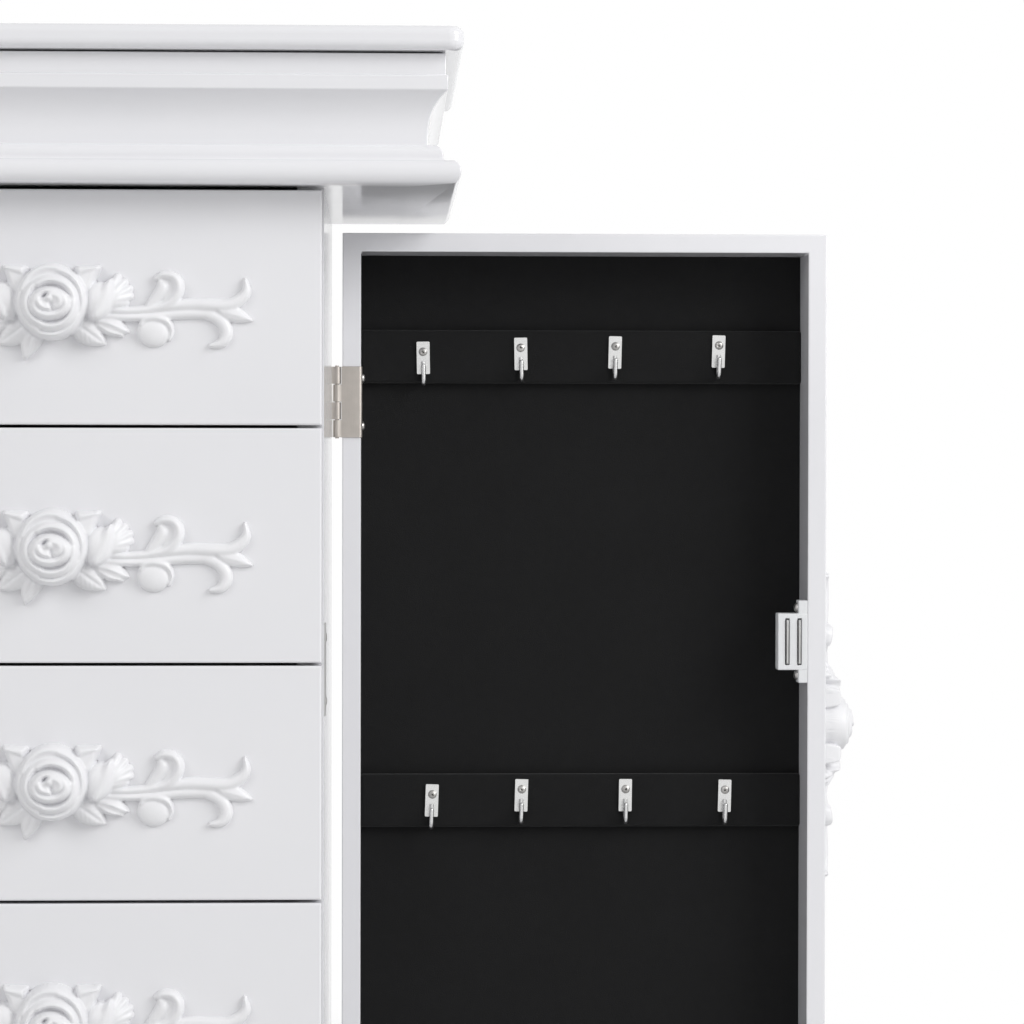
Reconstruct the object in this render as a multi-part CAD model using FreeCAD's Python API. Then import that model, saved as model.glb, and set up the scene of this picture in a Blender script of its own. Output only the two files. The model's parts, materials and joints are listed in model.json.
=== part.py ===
import FreeCAD, Part
import math
import os

# Free-standing jewellery cabinet in white lacquered board. A flip-up lid with a mirror closes
# the crown compartment, five drawers fill the body, and a shallow tray door hangs on each
# side, hinged at the back. The right door stands open at a right angle, the rest is closed.
# Millimetres. +X is the cabinet's right as seen from the front, -Y the front, +Z up.
# The origin is on the floor under the middle of the lid.

# ---- body -------------------------------------------------------------------------------
BODY_WIDTH = 301.0
SIDE_PANEL_THICKNESS = 15.0
BACK_PANEL_THICKNESS = 6.0
FOOT_HEIGHT = 110.0
BASE_MOULDING_HEIGHT = 40.0
BASE_MOULDING_THICKNESS = 28.0
BASE_MOULDING_PROJECTION = 10.0
BASE_REVEAL = 5.0
BASE_BOARD_THICKNESS = 18.0
REAR_RAIL_THICKNESS = 15.0
FOOT_BLOCK = 46.0
FOOT_PAD_RADIUS = 15.0
FOOT_ANKLE_RADIUS = 10.5
FOOT_KNEE_RADIUS = 24.0
FOOT_SPLAY = 8.0

# ---- crown and lid ----------------------------------------------------------------------
TOP_DEPTH = 346.0
LID_OVERHANG_SIDE = 23.0
LID_OVERHANG_FRONT = 28.0
LID_THICKNESS = 13.5
LID_EDGE_RADIUS = 5.0
LID_CORNER_RADIUS = 8.0
LID_SEAM = 1.0
CROWN_HEIGHT = 72.0
CROWN_THICKNESS = 33.0
BEAD_SETBACK = 4.4
BEAD_BULGE = 3.7
BEAD_HEIGHT = 12.6
SHOULDER_SETBACK = 10.5
SHOULDER_HEIGHT = 9.0
SHOULDER_ROUND = 3.8
WAIST_SETBACK = 19.0
WAIST_TOP = 29.0
COVE_TOP = 52.0
FASCIA_SETBACK = 8.0
FASCIA_STEP = 1.2
FASCIA_STEP_DROP = 12.0
TOP_BOARD_THICKNESS = 12.0
MIRROR_THICKNESS = 3.0
MIRROR_MARGIN = 42.0
MIRROR_RECESS = 3.4
MIRROR_FIT = 0.3

# ---- felt tray in the crown -------------------------------------------------------------
TRAY_HEIGHT = 52.0
TRAY_WALL = 4.0
TRAY_FLOOR = 3.0
TRAY_FIT = 0.3
TRAY_SIDE_CELL = 120.0
TRAY_SIDE_ROWS = 3
RING_ROLL_COUNT = 8
RING_ROLL_HEIGHT = 27.0
RING_ROLL_GAP = 1.4
RING_ROLL_END_GAP = 0.5

# ---- drawers ----------------------------------------------------------------------------
DRAWER_COUNT = 5
DRAWER_FRONT_HEIGHT = 130.8
DRAWER_FRONT_THICKNESS = 15.0
DRAWER_GAP = 1.7
TOP_DRAWER_GAP = 1.5
DRAWER_FRONT_INSET = 1.0
DRAWER_FRONT_EDGE = 1.2
DRAWER_FRONT_CLEARANCE = 0.5
BOX_HEIGHT = 108.0
BOX_LIFT = 8.0
BOX_WALL = 10.0
BOX_BOTTOM = 4.0
BOX_SIDE_GAP = 6.0
BOX_REAR_GAP = 15.0
LINER_THICKNESS = 1.0
RUNNER_HEIGHT = 11.4
RUNNER_GRIP = 4.5
RUNNER_SETBACK = 5.0
RUNNER_FIT_DEPTH = 0.5
RUNNER_FIT_TOP = 0.3
RUNNER_FIT_BOTTOM = 0.5
RUNNER_RISE = 54.0

# ---- side doors -------------------------------------------------------------------------
DOOR_GAP = 2.5
DOOR_DEPTH = 52.0
DOOR_WALL = 12.0
DOOR_SKIN = 5.0
DOOR_EDGE_RADIUS = 1.5
DOOR_TOP_GAP = 5.5
DOOR_BOTTOM_GAP = 8.5
DOOR_FRONT_SETBACK = 1.8
FELT_THICKNESS = 1.0
RAIL_HEIGHT = 35.0
RAIL_THICKNESS = 6.5
RAIL_EDGE_RADIUS = 2.0
UPPER_RAIL_DROP = 61.3
LOWER_RAIL_DROP = 354.5
# Each hook: distance from the door's hinged edge, and drop of its plate below the rail's top.
UPPER_HOOKS = ((52.6, 7.7), (117.0, 4.9), (179.7, 3.8), (248.3, 3.0))
LOWER_HOOKS = ((59.2, 6.6), (118.3, 3.3), (187.0, 3.3), (253.0, 3.8))

# ---- hooks ------------------------------------------------------------------------------
HOOK_PLATE_WIDTH = 8.6
HOOK_PLATE_HEIGHT = 21.4
HOOK_PLATE_THICKNESS = 1.2
HOOK_PLATE_CORNER = 0.7
HOOK_WIRE_RADIUS = 1.35
HOOK_WIRE_SINK = 0.3
HOOK_BEND_RADIUS = 3.9
HOOK_WIRE_START = 13.0
HOOK_WIRE_DROP = 24.0
HOOK_TIP_RISE = 8.0
HOOK_SCREW_DROP = 6.7

# ---- hinges -----------------------------------------------------------------------------
HINGE_LENGTH = 46.0
KNUCKLE_COUNT = 4
KNUCKLE_RADIUS = 2.6
KNUCKLE_GAP = 0.4
PIN_RADIUS = 1.25
PIN_FIT = 0.06
PIN_OVERRUN = 0.6
LEAF_THICKNESS = 1.0
LEAF_CLEARANCE = 0.3
FIXED_LEAF_WIDTH = 18.0
LID_LEAF_WIDTH = 13.0
LID_BARREL_CLEARANCE = 0.4
WRAP_DEPTH = 13.0
BARREL_BEHIND_BACK = 2.3
BARREL_OFF_SIDE = 3.2
DOOR_EDGE_TO_BARREL = 3.5
HINGE_FROM_DOOR_END = 109.5
HINGE_SCREW_SPACING = 31.0
LID_HINGE_SPACING = 280.0

# ---- magnetic catches -------------------------------------------------------------------
CATCH_DROP = 265.0
CATCH_FLANGE_HEIGHT = 53.7
CATCH_FLANGE_THICKNESS = 6.0
CATCH_FLANGE_DEPTH = 14.0
CATCH_BODY_HEIGHT = 36.8
CATCH_BODY_REACH = 19.4
CATCH_BODY_DEPTH = 15.0
CATCH_BODY_EDGE = 1.5
POLE_WIDTH = 2.2
POLE_HEIGHT = 28.5
POLE_SPACING = 7.9
POLE_FROM_WALL = 5.3
POLE_PROUD = 1.2
POLE_DEPTH = 6.0
STRIKE_HEIGHT = 52.0
STRIKE_WIDTH = 15.0
STRIKE_THICKNESS = 1.0
STRIKE_SCREW_SPACING = 36.0
CATCH_SCREW_SPACING = 44.0

# ---- screws: head radius, head height, shank radius -------------------------------------
HOOK_SCREW = (2.85, 1.5, 1.1)
HINGE_SCREW = (3.1, 1.8, 1.3)
STRIKE_SCREW = (2.6, 0.7, 1.2)
CATCH_SCREW = (3.2, 2.4, 1.2)
SCREW_LENGTH = 9.0
CATCH_SCREW_LENGTH = 14.0
HOOK_SCREW_LENGTH = 6.5
DRIVE_SLOT = (0.8, 0.5)

# ---- anti-tip holes in the crown's rear rail --------------------------------------------
TIE_HOLE_RADIUS = 2.25
TIE_HOLE_SPACING = 120.0
TIE_HOLE_RISE = 36.0

# ---- carved rose appliques --------------------------------------------------------------
ROSE_RELIEF = 23.0
BUD_RELIEF = 13.5
BERRY_RELIEF = 7.0
LEAF_RELIEF = 5.0
SCROLL_RELIEF = 5.0
SCROLL_WIDTH = 5.0
ROSE_RADIUS = 19.2
BUD_RADIUS = 10.0
BERRY_RADIUS = 7.3
DRAWER_ROSE_RISES = (3.6, 0.0, 2.0, 1.0, 1.0)
DOOR_CARVING_SCALE = 0.91
DOOR_CARVING_DROP = 320.0
DOOR_CARVING_SHIFT = 6.5

# ---- levels and planes worked out from the sizes above ----------------------------------
HALF_BODY = BODY_WIDTH / 2
HALF_INSIDE = HALF_BODY - SIDE_PANEL_THICKNESS
TOP_WIDTH = BODY_WIDTH + 2 * (DOOR_GAP + DOOR_DEPTH + LID_OVERHANG_SIDE)
HALF_TOP = TOP_WIDTH / 2
FRONT_Y = -TOP_DEPTH / 2
BACK_Y = TOP_DEPTH / 2
DRAWER_FACE_Y = FRONT_Y + LID_OVERHANG_FRONT
DRAWER_BACK_Y = DRAWER_FACE_Y + DRAWER_FRONT_THICKNESS
BODY_FRONT_Y = DRAWER_BACK_Y + DRAWER_FRONT_CLEARANCE
BACK_PANEL_Y = BACK_Y - BACK_PANEL_THICKNESS
BASE_TOP = FOOT_HEIGHT + BASE_MOULDING_HEIGHT
DRAWER_PITCH = DRAWER_FRONT_HEIGHT + DRAWER_GAP
CROWN_BOTTOM = BASE_TOP + DRAWER_COUNT * DRAWER_PITCH + TOP_DRAWER_GAP
CROWN_TOP = CROWN_BOTTOM + CROWN_HEIGHT
LID_BOTTOM = CROWN_TOP + LID_SEAM
LID_TOP = LID_BOTTOM + LID_THICKNESS
BASE_HALF = HALF_BODY + DOOR_GAP + DOOR_DEPTH + BASE_REVEAL + BASE_MOULDING_PROJECTION
BASE_FRONT_Y = DRAWER_FACE_Y - BASE_REVEAL - BASE_MOULDING_PROJECTION

BARREL_X = HALF_BODY + BARREL_OFF_SIDE
BARREL_Y = BACK_Y + BARREL_BEHIND_BACK
LID_BARREL_BEHIND = KNUCKLE_RADIUS + LID_BARREL_CLEARANCE
LID_BARREL_Y = BACK_Y + LID_BARREL_BEHIND
LID_BARREL_Z = CROWN_TOP + LID_SEAM / 2
DOOR_TOP = CROWN_BOTTOM - DOOR_TOP_GAP
DOOR_BOTTOM = BASE_TOP + DOOR_BOTTOM_GAP
DOOR_HINGE_EDGE = DOOR_EDGE_TO_BARREL
DOOR_WIDTH = BARREL_Y - DOOR_EDGE_TO_BARREL - DRAWER_FACE_Y - DOOR_FRONT_SETBACK
DOOR_FREE_EDGE = DOOR_HINGE_EDGE + DOOR_WIDTH
DOOR_RIM = DOOR_GAP - BARREL_OFF_SIDE
DOOR_FRAME_DEPTH = DOOR_DEPTH - DOOR_SKIN
DOOR_SKIN_Y = DOOR_RIM + DOOR_FRAME_DEPTH
FELT_FACE = DOOR_SKIN_Y - FELT_THICKNESS
RAIL_FACE = FELT_FACE - RAIL_THICKNESS
HINGE_LEVELS = (DOOR_BOTTOM + HINGE_FROM_DOOR_END, DOOR_TOP - HINGE_FROM_DOOR_END)
CATCH_WALL = DOOR_FREE_EDGE - DOOR_WALL
CATCH_Z = DOOR_TOP - CATCH_DROP
POLE_CENTRE = CATCH_WALL - POLE_FROM_WALL - POLE_SPACING / 2
STRIKE_Y = BARREL_Y - POLE_CENTRE
STRIKE_LEVELS = (CATCH_Z - STRIKE_SCREW_SPACING / 2, CATCH_Z + STRIKE_SCREW_SPACING / 2)
HINGE_SCREW_RISES = (-HINGE_SCREW_SPACING / 2, HINGE_SCREW_SPACING / 2)
FIXED_SCREW_X = KNUCKLE_RADIUS + (FIXED_LEAF_WIDTH - KNUCKLE_RADIUS) / 2
LID_SCREW_Z = KNUCKLE_RADIUS + (LID_LEAF_WIDTH - KNUCKLE_RADIUS) / 2
LID_HINGE_PLACES = (-LID_HINGE_SPACING / 2, LID_HINGE_SPACING / 2)

CROWN_INSIDE = HALF_TOP - CROWN_THICKNESS
CROWN_INSIDE_FRONT = FRONT_Y + CROWN_THICKNESS
CROWN_INSIDE_BACK = BACK_Y - REAR_RAIL_THICKNESS
TRAY_Z = CROWN_BOTTOM + TOP_BOARD_THICKNESS
TRAY_X = CROWN_INSIDE - TRAY_FIT
TRAY_FRONT = CROWN_INSIDE_FRONT + TRAY_FIT
TRAY_BACK = CROWN_INSIDE_BACK - TRAY_FIT

BOX_X = HALF_INSIDE - BOX_SIDE_GAP
BOX_BACK_Y = BACK_PANEL_Y - BOX_REAR_GAP

X_AXIS = FreeCAD.Vector(1, 0, 0)
Y_AXIS = FreeCAD.Vector(0, 1, 0)
Z_AXIS = FreeCAD.Vector(0, 0, 1)
ORIGIN = FreeCAD.Vector(0, 0, 0)


def vec(x, y, z):
    return FreeCAD.Vector(x, y, z)


def block(x_range, y_range, z_range):
    size = [high - low for low, high in (x_range, y_range, z_range)]
    return Part.makeBox(*size, vec(x_range[0], y_range[0], z_range[0]))


def moved(shape, x=0.0, y=0.0, z=0.0):
    copy = shape.copy()
    copy.translate(vec(x, y, z))
    return copy


def turned(shape, axis, degrees, centre=ORIGIN):
    copy = shape.copy()
    copy.rotate(centre, axis, degrees)
    return copy


def fused(shapes):
    return shapes[0].multiFuse(shapes[1:]).removeSplitter()


def without(shape, tools):
    for tool in tools:
        shape = shape.cut(tool)
    return shape


def rounded(shape, radius, chosen):
    edges = [edge for edge in shape.Edges if chosen(edge.BoundBox)]
    return shape.makeFillet(radius, edges)


def save(name, *solids):
    shape = solids[0] if len(solids) == 1 else Part.makeCompound(list(solids))
    shape.exportStep("parts/" + name + ".step")


# ---- screws -----------------------------------------------------------------------------
def screw(kind, length):
    """Round-headed screw with a cross drive, pointing down, its head resting on z = 0."""
    head_radius, head_height, shank_radius = kind
    shank = Part.makeCylinder(shank_radius, length, vec(0, 0, -length))
    edge = head_height * 0.4
    head = Part.makeCylinder(head_radius, edge)
    dome = Part.makeCone(head_radius, head_radius * 0.6, head_height - edge, vec(0, 0, edge))
    slot_width, slot_depth = DRIVE_SLOT
    reach = head_radius * 0.5
    slot = block((-reach, reach), (-slot_width / 2, slot_width / 2),
                 (head_height - min(slot_depth, head_height / 2), head_height))
    return without(fused([shank, head, dome]), [slot, turned(slot, Z_AXIS, 90)])


def pilot(kind, length):
    """The hole that takes a screw's shank."""
    return Part.makeCylinder(kind[2], length, vec(0, 0, -length))


def aimed(shape, direction):
    """Turns a screw or its pilot so that its head faces the named direction."""
    turns = {"+x": (Y_AXIS, 90), "-x": (Y_AXIS, -90), "+y": (X_AXIS, -90), "-y": (X_AXIS, 90)}
    axis, degrees = turns[direction]
    return turned(shape, axis, degrees)


# ---- mouldings --------------------------------------------------------------------------
def crown_outline():
    """Points of the crown's section from the bottom inside edge round to the top inside."""
    shoulder_foot = BEAD_HEIGHT
    shoulder_top = shoulder_foot + SHOULDER_HEIGHT
    shoulder_mid = SHOULDER_SETBACK + SHOULDER_ROUND * 0.15
    cove_mid = WAIST_SETBACK - (WAIST_SETBACK - FASCIA_SETBACK) * 0.3
    step_z = CROWN_HEIGHT - FASCIA_STEP_DROP
    return [
        ("line", (-CROWN_THICKNESS, 0), (-BEAD_SETBACK, 0)),
        ("arc", (-BEAD_SETBACK, 0), (-BEAD_SETBACK + BEAD_BULGE, BEAD_HEIGHT / 2),
         (-BEAD_SETBACK, BEAD_HEIGHT)),
        ("line", (-BEAD_SETBACK, BEAD_HEIGHT), (-SHOULDER_SETBACK, shoulder_foot)),
        ("arc", (-SHOULDER_SETBACK, shoulder_foot),
         (-shoulder_mid, shoulder_foot + SHOULDER_HEIGHT * 0.6),
         (-SHOULDER_SETBACK - SHOULDER_ROUND, shoulder_top)),
        ("line", (-SHOULDER_SETBACK - SHOULDER_ROUND, shoulder_top), (-WAIST_SETBACK, shoulder_top)),
        ("line", (-WAIST_SETBACK, shoulder_top), (-WAIST_SETBACK, WAIST_TOP)),
        ("arc", (-WAIST_SETBACK, WAIST_TOP), (-cove_mid, WAIST_TOP + (COVE_TOP - WAIST_TOP) * 0.6),
         (-FASCIA_SETBACK, COVE_TOP)),
        ("line", (-FASCIA_SETBACK, COVE_TOP), (-FASCIA_SETBACK, step_z)),
        ("line", (-FASCIA_SETBACK, step_z), (-FASCIA_SETBACK - FASCIA_STEP, step_z)),
        ("line", (-FASCIA_SETBACK - FASCIA_STEP, step_z),
         (-FASCIA_SETBACK - FASCIA_STEP, CROWN_HEIGHT)),
        ("line", (-FASCIA_SETBACK - FASCIA_STEP, CROWN_HEIGHT), (-CROWN_THICKNESS, CROWN_HEIGHT)),
        ("line", (-CROWN_THICKNESS, CROWN_HEIGHT), (-CROWN_THICKNESS, 0)),
    ]


def base_outline():
    """Section of the base moulding: a flat face with a step and a quarter round on top."""
    inner = -BASE_MOULDING_THICKNESS
    top = BASE_MOULDING_HEIGHT
    step = BASE_MOULDING_PROJECTION * 0.2
    round_size = BASE_MOULDING_PROJECTION - step
    foot = top - round_size - step
    bulge = math.sqrt(0.5) * round_size
    return [
        ("line", (inner, 0), (0, 0)),
        ("line", (0, 0), (0, foot)),
        ("line", (0, foot), (-step, foot)),
        ("line", (-step, foot), (-step, foot + step)),
        ("arc", (-step, foot + step),
         (-step - round_size + bulge, foot + step + bulge), (-step - round_size, top)),
        ("line", (-step - round_size, top), (inner, top)),
        ("line", (inner, top), (inner, 0)),
    ]


def section_face(outline, place):
    """A flat face from an outline, with each (outward, height) point put where place says."""
    edges = []
    for kind, *points in outline:
        ends = [place(*point) for point in points]
        curve = Part.LineSegment(*ends) if kind == "line" else Part.Arc(*ends)
        edges.append(curve.toShape())
    return Part.Face(Part.Wire(edges))


def mitre_plan(corners, bottom, top):
    """A prism over a plan, to cut a moulding's ends."""
    points = [vec(x, y, bottom) for x, y in corners]
    return Part.Face(Part.makePolygon(points + points[:1])).extrude(vec(0, 0, top - bottom))


def three_mouldings(outline, thickness, half, front, bottom, top):
    """Front, left and right runs of one moulding, mitred at the front corners."""
    front_face = section_face(outline, lambda out, up: vec(-half, front - out, bottom + up))
    front_run = front_face.extrude(vec(2 * half, 0, 0))
    inner_x = half - thickness
    inner_y = front + thickness
    front_run = front_run.common(mitre_plan(
        [(-half, front), (half, front), (inner_x, inner_y), (-inner_x, inner_y)], bottom, top))
    side_face = section_face(outline, lambda out, up: vec(half + out, front, bottom + up))
    right_run = side_face.extrude(vec(0, BACK_Y - front, 0))
    right_run = right_run.common(mitre_plan(
        [(half, front), (half, BACK_Y), (inner_x, BACK_Y), (inner_x, inner_y)], bottom, top))
    return front_run, right_run.mirror(ORIGIN, X_AXIS), right_run


# ---- cabinet body -----------------------------------------------------------------------
def strike_pilots():
    holes = []
    for level in STRIKE_LEVELS:
        hole = aimed(pilot(STRIKE_SCREW, SCREW_LENGTH), "+x")
        holes.append(moved(hole, HALF_BODY + STRIKE_THICKNESS, STRIKE_Y, level))
    return holes


def hinge_pilots():
    holes = []
    for level in HINGE_LEVELS:
        for rise in HINGE_SCREW_RISES:
            hole = aimed(pilot(HINGE_SCREW, SCREW_LENGTH), "+y")
            holes.append(moved(hole, BARREL_X - FIXED_SCREW_X, BACK_Y + LEAF_THICKNESS, level + rise))
    return holes


def side_panel():
    panel = block((HALF_INSIDE, HALF_BODY), (BODY_FRONT_Y, BACK_Y), (BASE_TOP, CROWN_BOTTOM))
    return without(panel, strike_pilots() + hinge_pilots())


def back_panel():
    return block((-HALF_INSIDE, HALF_INSIDE), (BACK_PANEL_Y, BACK_Y), (BASE_TOP, CROWN_BOTTOM))


def base_board():
    inside = BASE_HALF - BASE_MOULDING_THICKNESS
    return block((-inside, inside),
                 (BASE_FRONT_Y + BASE_MOULDING_THICKNESS, BACK_Y - REAR_RAIL_THICKNESS),
                 (BASE_TOP - BASE_BOARD_THICKNESS, BASE_TOP))


def base_mouldings():
    runs = three_mouldings(base_outline(), BASE_MOULDING_THICKNESS, BASE_HALF, BASE_FRONT_Y,
                           FOOT_HEIGHT, BASE_TOP)
    inside = BASE_HALF - BASE_MOULDING_THICKNESS
    rear = block((-inside, inside), (BACK_Y - REAR_RAIL_THICKNESS, BACK_Y), (FOOT_HEIGHT, BASE_TOP))
    return (*runs, rear)


def foot():
    """Short cabriole foot that curves out towards +X and -Y, under a square block."""
    block_top = BASE_TOP - BASE_BOARD_THICKNESS
    half = FOOT_BLOCK / 2
    head = block((-half, half), (-half, half), (FOOT_HEIGHT, block_top))
    sections = (
        (FOOT_HEIGHT, half - 1.0, 0.0),
        (FOOT_HEIGHT * 0.84, FOOT_KNEE_RADIUS, FOOT_SPLAY * 0.5),
        (FOOT_HEIGHT * 0.52, (FOOT_KNEE_RADIUS + FOOT_ANKLE_RADIUS) / 2, FOOT_SPLAY * 0.1),
        (FOOT_HEIGHT * 0.24, FOOT_ANKLE_RADIUS, FOOT_SPLAY * 0.2),
        (FOOT_HEIGHT * 0.08, FOOT_PAD_RADIUS, FOOT_SPLAY),
        (0.0, FOOT_PAD_RADIUS * 0.87, FOOT_SPLAY),
    )
    rings = []
    for height, radius, splay in sections:
        offset = splay * math.sqrt(0.5)
        rings.append(Part.Wire(Part.makeCircle(radius, vec(offset, -offset, height))))
    leg = Part.makeLoft(rings, True, False)
    return fused([head, leg])


def feet():
    inset = BASE_MOULDING_THICKNESS + FOOT_BLOCK / 2
    x = BASE_HALF - inset
    front = BASE_FRONT_Y + inset
    back = BACK_Y - REAR_RAIL_THICKNESS - FOOT_BLOCK / 2
    right_front = moved(foot(), x, front)
    right_back = moved(turned(foot(), Z_AXIS, 90), x, back)
    return [right_front, right_front.mirror(ORIGIN, X_AXIS),
            right_back, right_back.mirror(ORIGIN, X_AXIS)]


def top_board():
    return block((-CROWN_INSIDE, CROWN_INSIDE), (CROWN_INSIDE_FRONT, CROWN_INSIDE_BACK),
                 (CROWN_BOTTOM, CROWN_BOTTOM + TOP_BOARD_THICKNESS))


def crown_back_rail():
    rail = block((-CROWN_INSIDE, CROWN_INSIDE), (CROWN_INSIDE_BACK, BACK_Y),
                 (CROWN_BOTTOM, CROWN_TOP))
    holes = []
    for side in (-1, 1):
        place = vec(side * TIE_HOLE_SPACING / 2, CROWN_INSIDE_BACK, CROWN_BOTTOM + TIE_HOLE_RISE)
        holes.append(Part.makeCylinder(TIE_HOLE_RADIUS, REAR_RAIL_THICKNESS, place, Y_AXIS))
    for x in LID_HINGE_PLACES:
        for rise in HINGE_SCREW_RISES:
            hole = aimed(pilot(HINGE_SCREW, SCREW_LENGTH), "+y")
            holes.append(moved(hole, x + rise, BACK_Y + LEAF_THICKNESS, LID_BARREL_Z - FIXED_SCREW_X))
    return without(rail, holes)


# ---- felt tray and ring rolls -----------------------------------------------------------
def tray_columns():
    """Low and high X of the left, middle and right columns of cells."""
    left = -TRAY_X + TRAY_WALL
    right = TRAY_X - TRAY_WALL
    return ((left, left + TRAY_SIDE_CELL),
            (left + TRAY_SIDE_CELL + TRAY_WALL, right - TRAY_SIDE_CELL - TRAY_WALL),
            (right - TRAY_SIDE_CELL, right))


def tray_rows(count):
    """Low and high Y of equal cells from front to back."""
    first = TRAY_FRONT + TRAY_WALL
    depth = (TRAY_BACK - TRAY_WALL - first - (count - 1) * TRAY_WALL) / count
    return [(first + i * (depth + TRAY_WALL), first + i * (depth + TRAY_WALL) + depth)
            for i in range(count)]


def top_tray():
    tray = block((-TRAY_X, TRAY_X), (TRAY_FRONT, TRAY_BACK), (TRAY_Z, TRAY_Z + TRAY_HEIGHT))
    left, middle, right = tray_columns()
    cells = [(left, row) for row in tray_rows(TRAY_SIDE_ROWS)]
    cells += [(right, row) for row in tray_rows(TRAY_SIDE_ROWS)]
    cells += [(middle, row) for row in tray_rows(2)]
    top = TRAY_Z + TRAY_HEIGHT
    return without(tray, [block(column, row, (TRAY_Z + TRAY_FLOOR, top)) for column, row in cells])


def ring_rolls():
    """Padded bars side by side in the tray's rear middle cell; rings stand between them."""
    low, high = tray_columns()[1]
    front, back = tray_rows(2)[1]
    pitch = (back - front - RING_ROLL_GAP) / RING_ROLL_COUNT
    width = pitch - RING_ROLL_GAP
    z = TRAY_Z + TRAY_FLOOR
    radius = width / 2
    rolls = []
    for i in range(RING_ROLL_COUNT):
        y = front + RING_ROLL_GAP + i * pitch
        shoulder = z + RING_ROLL_HEIGHT - radius
        x = low + RING_ROLL_END_GAP
        corners = [vec(x, y, z), vec(x, y + width, z), vec(x, y + width, shoulder), vec(x, y, shoulder)]
        edges = [Part.LineSegment(corners[0], corners[1]), Part.LineSegment(corners[1], corners[2]),
                 Part.Arc(corners[2], vec(x, y + radius, shoulder + radius), corners[3]),
                 Part.LineSegment(corners[3], corners[0])]
        face = Part.Face(Part.Wire([edge.toShape() for edge in edges]))
        rolls.append(face.extrude(vec(high - low - 2 * RING_ROLL_END_GAP, 0, 0)))
    return rolls


# ---- lid --------------------------------------------------------------------------------
def lid_board():
    lid = block((-HALF_TOP, HALF_TOP), (FRONT_Y, BACK_Y), (LID_BOTTOM, LID_TOP))
    lid = rounded(lid, LID_CORNER_RADIUS, lambda b: b.ZLength > 1 and b.YMax < 0)
    lid = rounded(lid, LID_EDGE_RADIUS, lambda b: b.ZLength < 0.01 and b.YMin < BACK_Y - 1)
    recess_x = HALF_TOP - MIRROR_MARGIN + MIRROR_FIT
    recess_y = (FRONT_Y + MIRROR_MARGIN - MIRROR_FIT, BACK_Y - MIRROR_MARGIN + MIRROR_FIT)
    recess = block((-recess_x, recess_x), recess_y, (LID_BOTTOM, LID_BOTTOM + MIRROR_RECESS))
    return without(lid, [recess] + lid_pilots())


def lid_pilots():
    holes = []
    for x in LID_HINGE_PLACES:
        for rise in HINGE_SCREW_RISES:
            hole = aimed(pilot(HINGE_SCREW, SCREW_LENGTH), "+y")
            holes.append(moved(hole, x + rise, BACK_Y + LEAF_THICKNESS, LID_BARREL_Z + LID_SCREW_Z))
    return holes


def lid_mirror():
    half = HALF_TOP - MIRROR_MARGIN
    top = LID_BOTTOM + MIRROR_RECESS
    return block((-half, half), (FRONT_Y + MIRROR_MARGIN, BACK_Y - MIRROR_MARGIN),
                 (top - MIRROR_THICKNESS, top))


# ---- hinges -----------------------------------------------------------------------------
def knuckle_spans(first):
    """Heights of every other knuckle, counted from the top, about the hinge's middle."""
    pitch = HINGE_LENGTH / KNUCKLE_COUNT
    spans = []
    for i in range(first, KNUCKLE_COUNT, 2):
        top = HINGE_LENGTH / 2 - i * pitch
        spans.append((top - pitch + KNUCKLE_GAP / 2, top - KNUCKLE_GAP / 2))
    return spans


def barrel(plate, tabs, first, bore):
    """Joins a leaf's plate and tabs to its knuckles and bores them for the pin."""
    bodies = [plate]
    holes = []
    for low, high in knuckle_spans(first):
        foot_point = vec(0, 0, low)
        bodies.append(Part.makeCylinder(KNUCKLE_RADIUS, high - low, foot_point))
        bodies.append(block(*tabs, (low, high)))
        holes.append(Part.makeCylinder(bore, high - low, foot_point))
    return without(fused(bodies), holes)


def flat_leaf(width, first, bore, behind):
    """Leaf that reaches towards -X from a barrel on the Z axis, its fixing face behind it."""
    clear = KNUCKLE_RADIUS + LEAF_CLEARANCE
    face = -behind
    thickness = (face, face + LEAF_THICKNESS)
    plate = block((-width, -clear), thickness, (-HINGE_LENGTH / 2, HINGE_LENGTH / 2))
    leaf = barrel(plate, ((-clear, 0), thickness), first, bore)
    middle = -(KNUCKLE_RADIUS + (width - KNUCKLE_RADIUS) / 2)
    holes = [moved(aimed(pilot(HINGE_SCREW, SCREW_LENGTH), "+y"), middle, face + LEAF_THICKNESS, rise)
             for rise in HINGE_SCREW_RISES]
    return without(leaf, holes)


def wrap_leaf():
    """Door leaf: over the rim and round onto the tray's inner wall, held there by two screws."""
    clear = KNUCKLE_RADIUS + LEAF_CLEARANCE
    inner = DOOR_HINGE_EDGE + DOOR_WALL
    ends = (-HINGE_LENGTH / 2, HINGE_LENGTH / 2)
    thickness = (DOOR_RIM - LEAF_THICKNESS, DOOR_RIM)
    over_rim = block((clear, inner + LEAF_THICKNESS), thickness, ends)
    inside = block((inner, inner + LEAF_THICKNESS), (DOOR_RIM - LEAF_THICKNESS, DOOR_RIM + WRAP_DEPTH),
                   ends)
    leaf = barrel(over_rim, ((0, clear), thickness), 1, PIN_RADIUS + PIN_FIT)
    return without(fused([leaf, inside]), wrap_pilots())


def wrap_screw_place():
    return DOOR_HINGE_EDGE + DOOR_WALL + LEAF_THICKNESS, DOOR_RIM + WRAP_DEPTH / 2


def wrap_pilots():
    x, y = wrap_screw_place()
    return [moved(aimed(pilot(HINGE_SCREW, SCREW_LENGTH), "+x"), x, y, rise)
            for rise in HINGE_SCREW_RISES]


def door_leaves():
    return [moved(wrap_leaf(), 0, 0, level) for level in HINGE_LEVELS]


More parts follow.
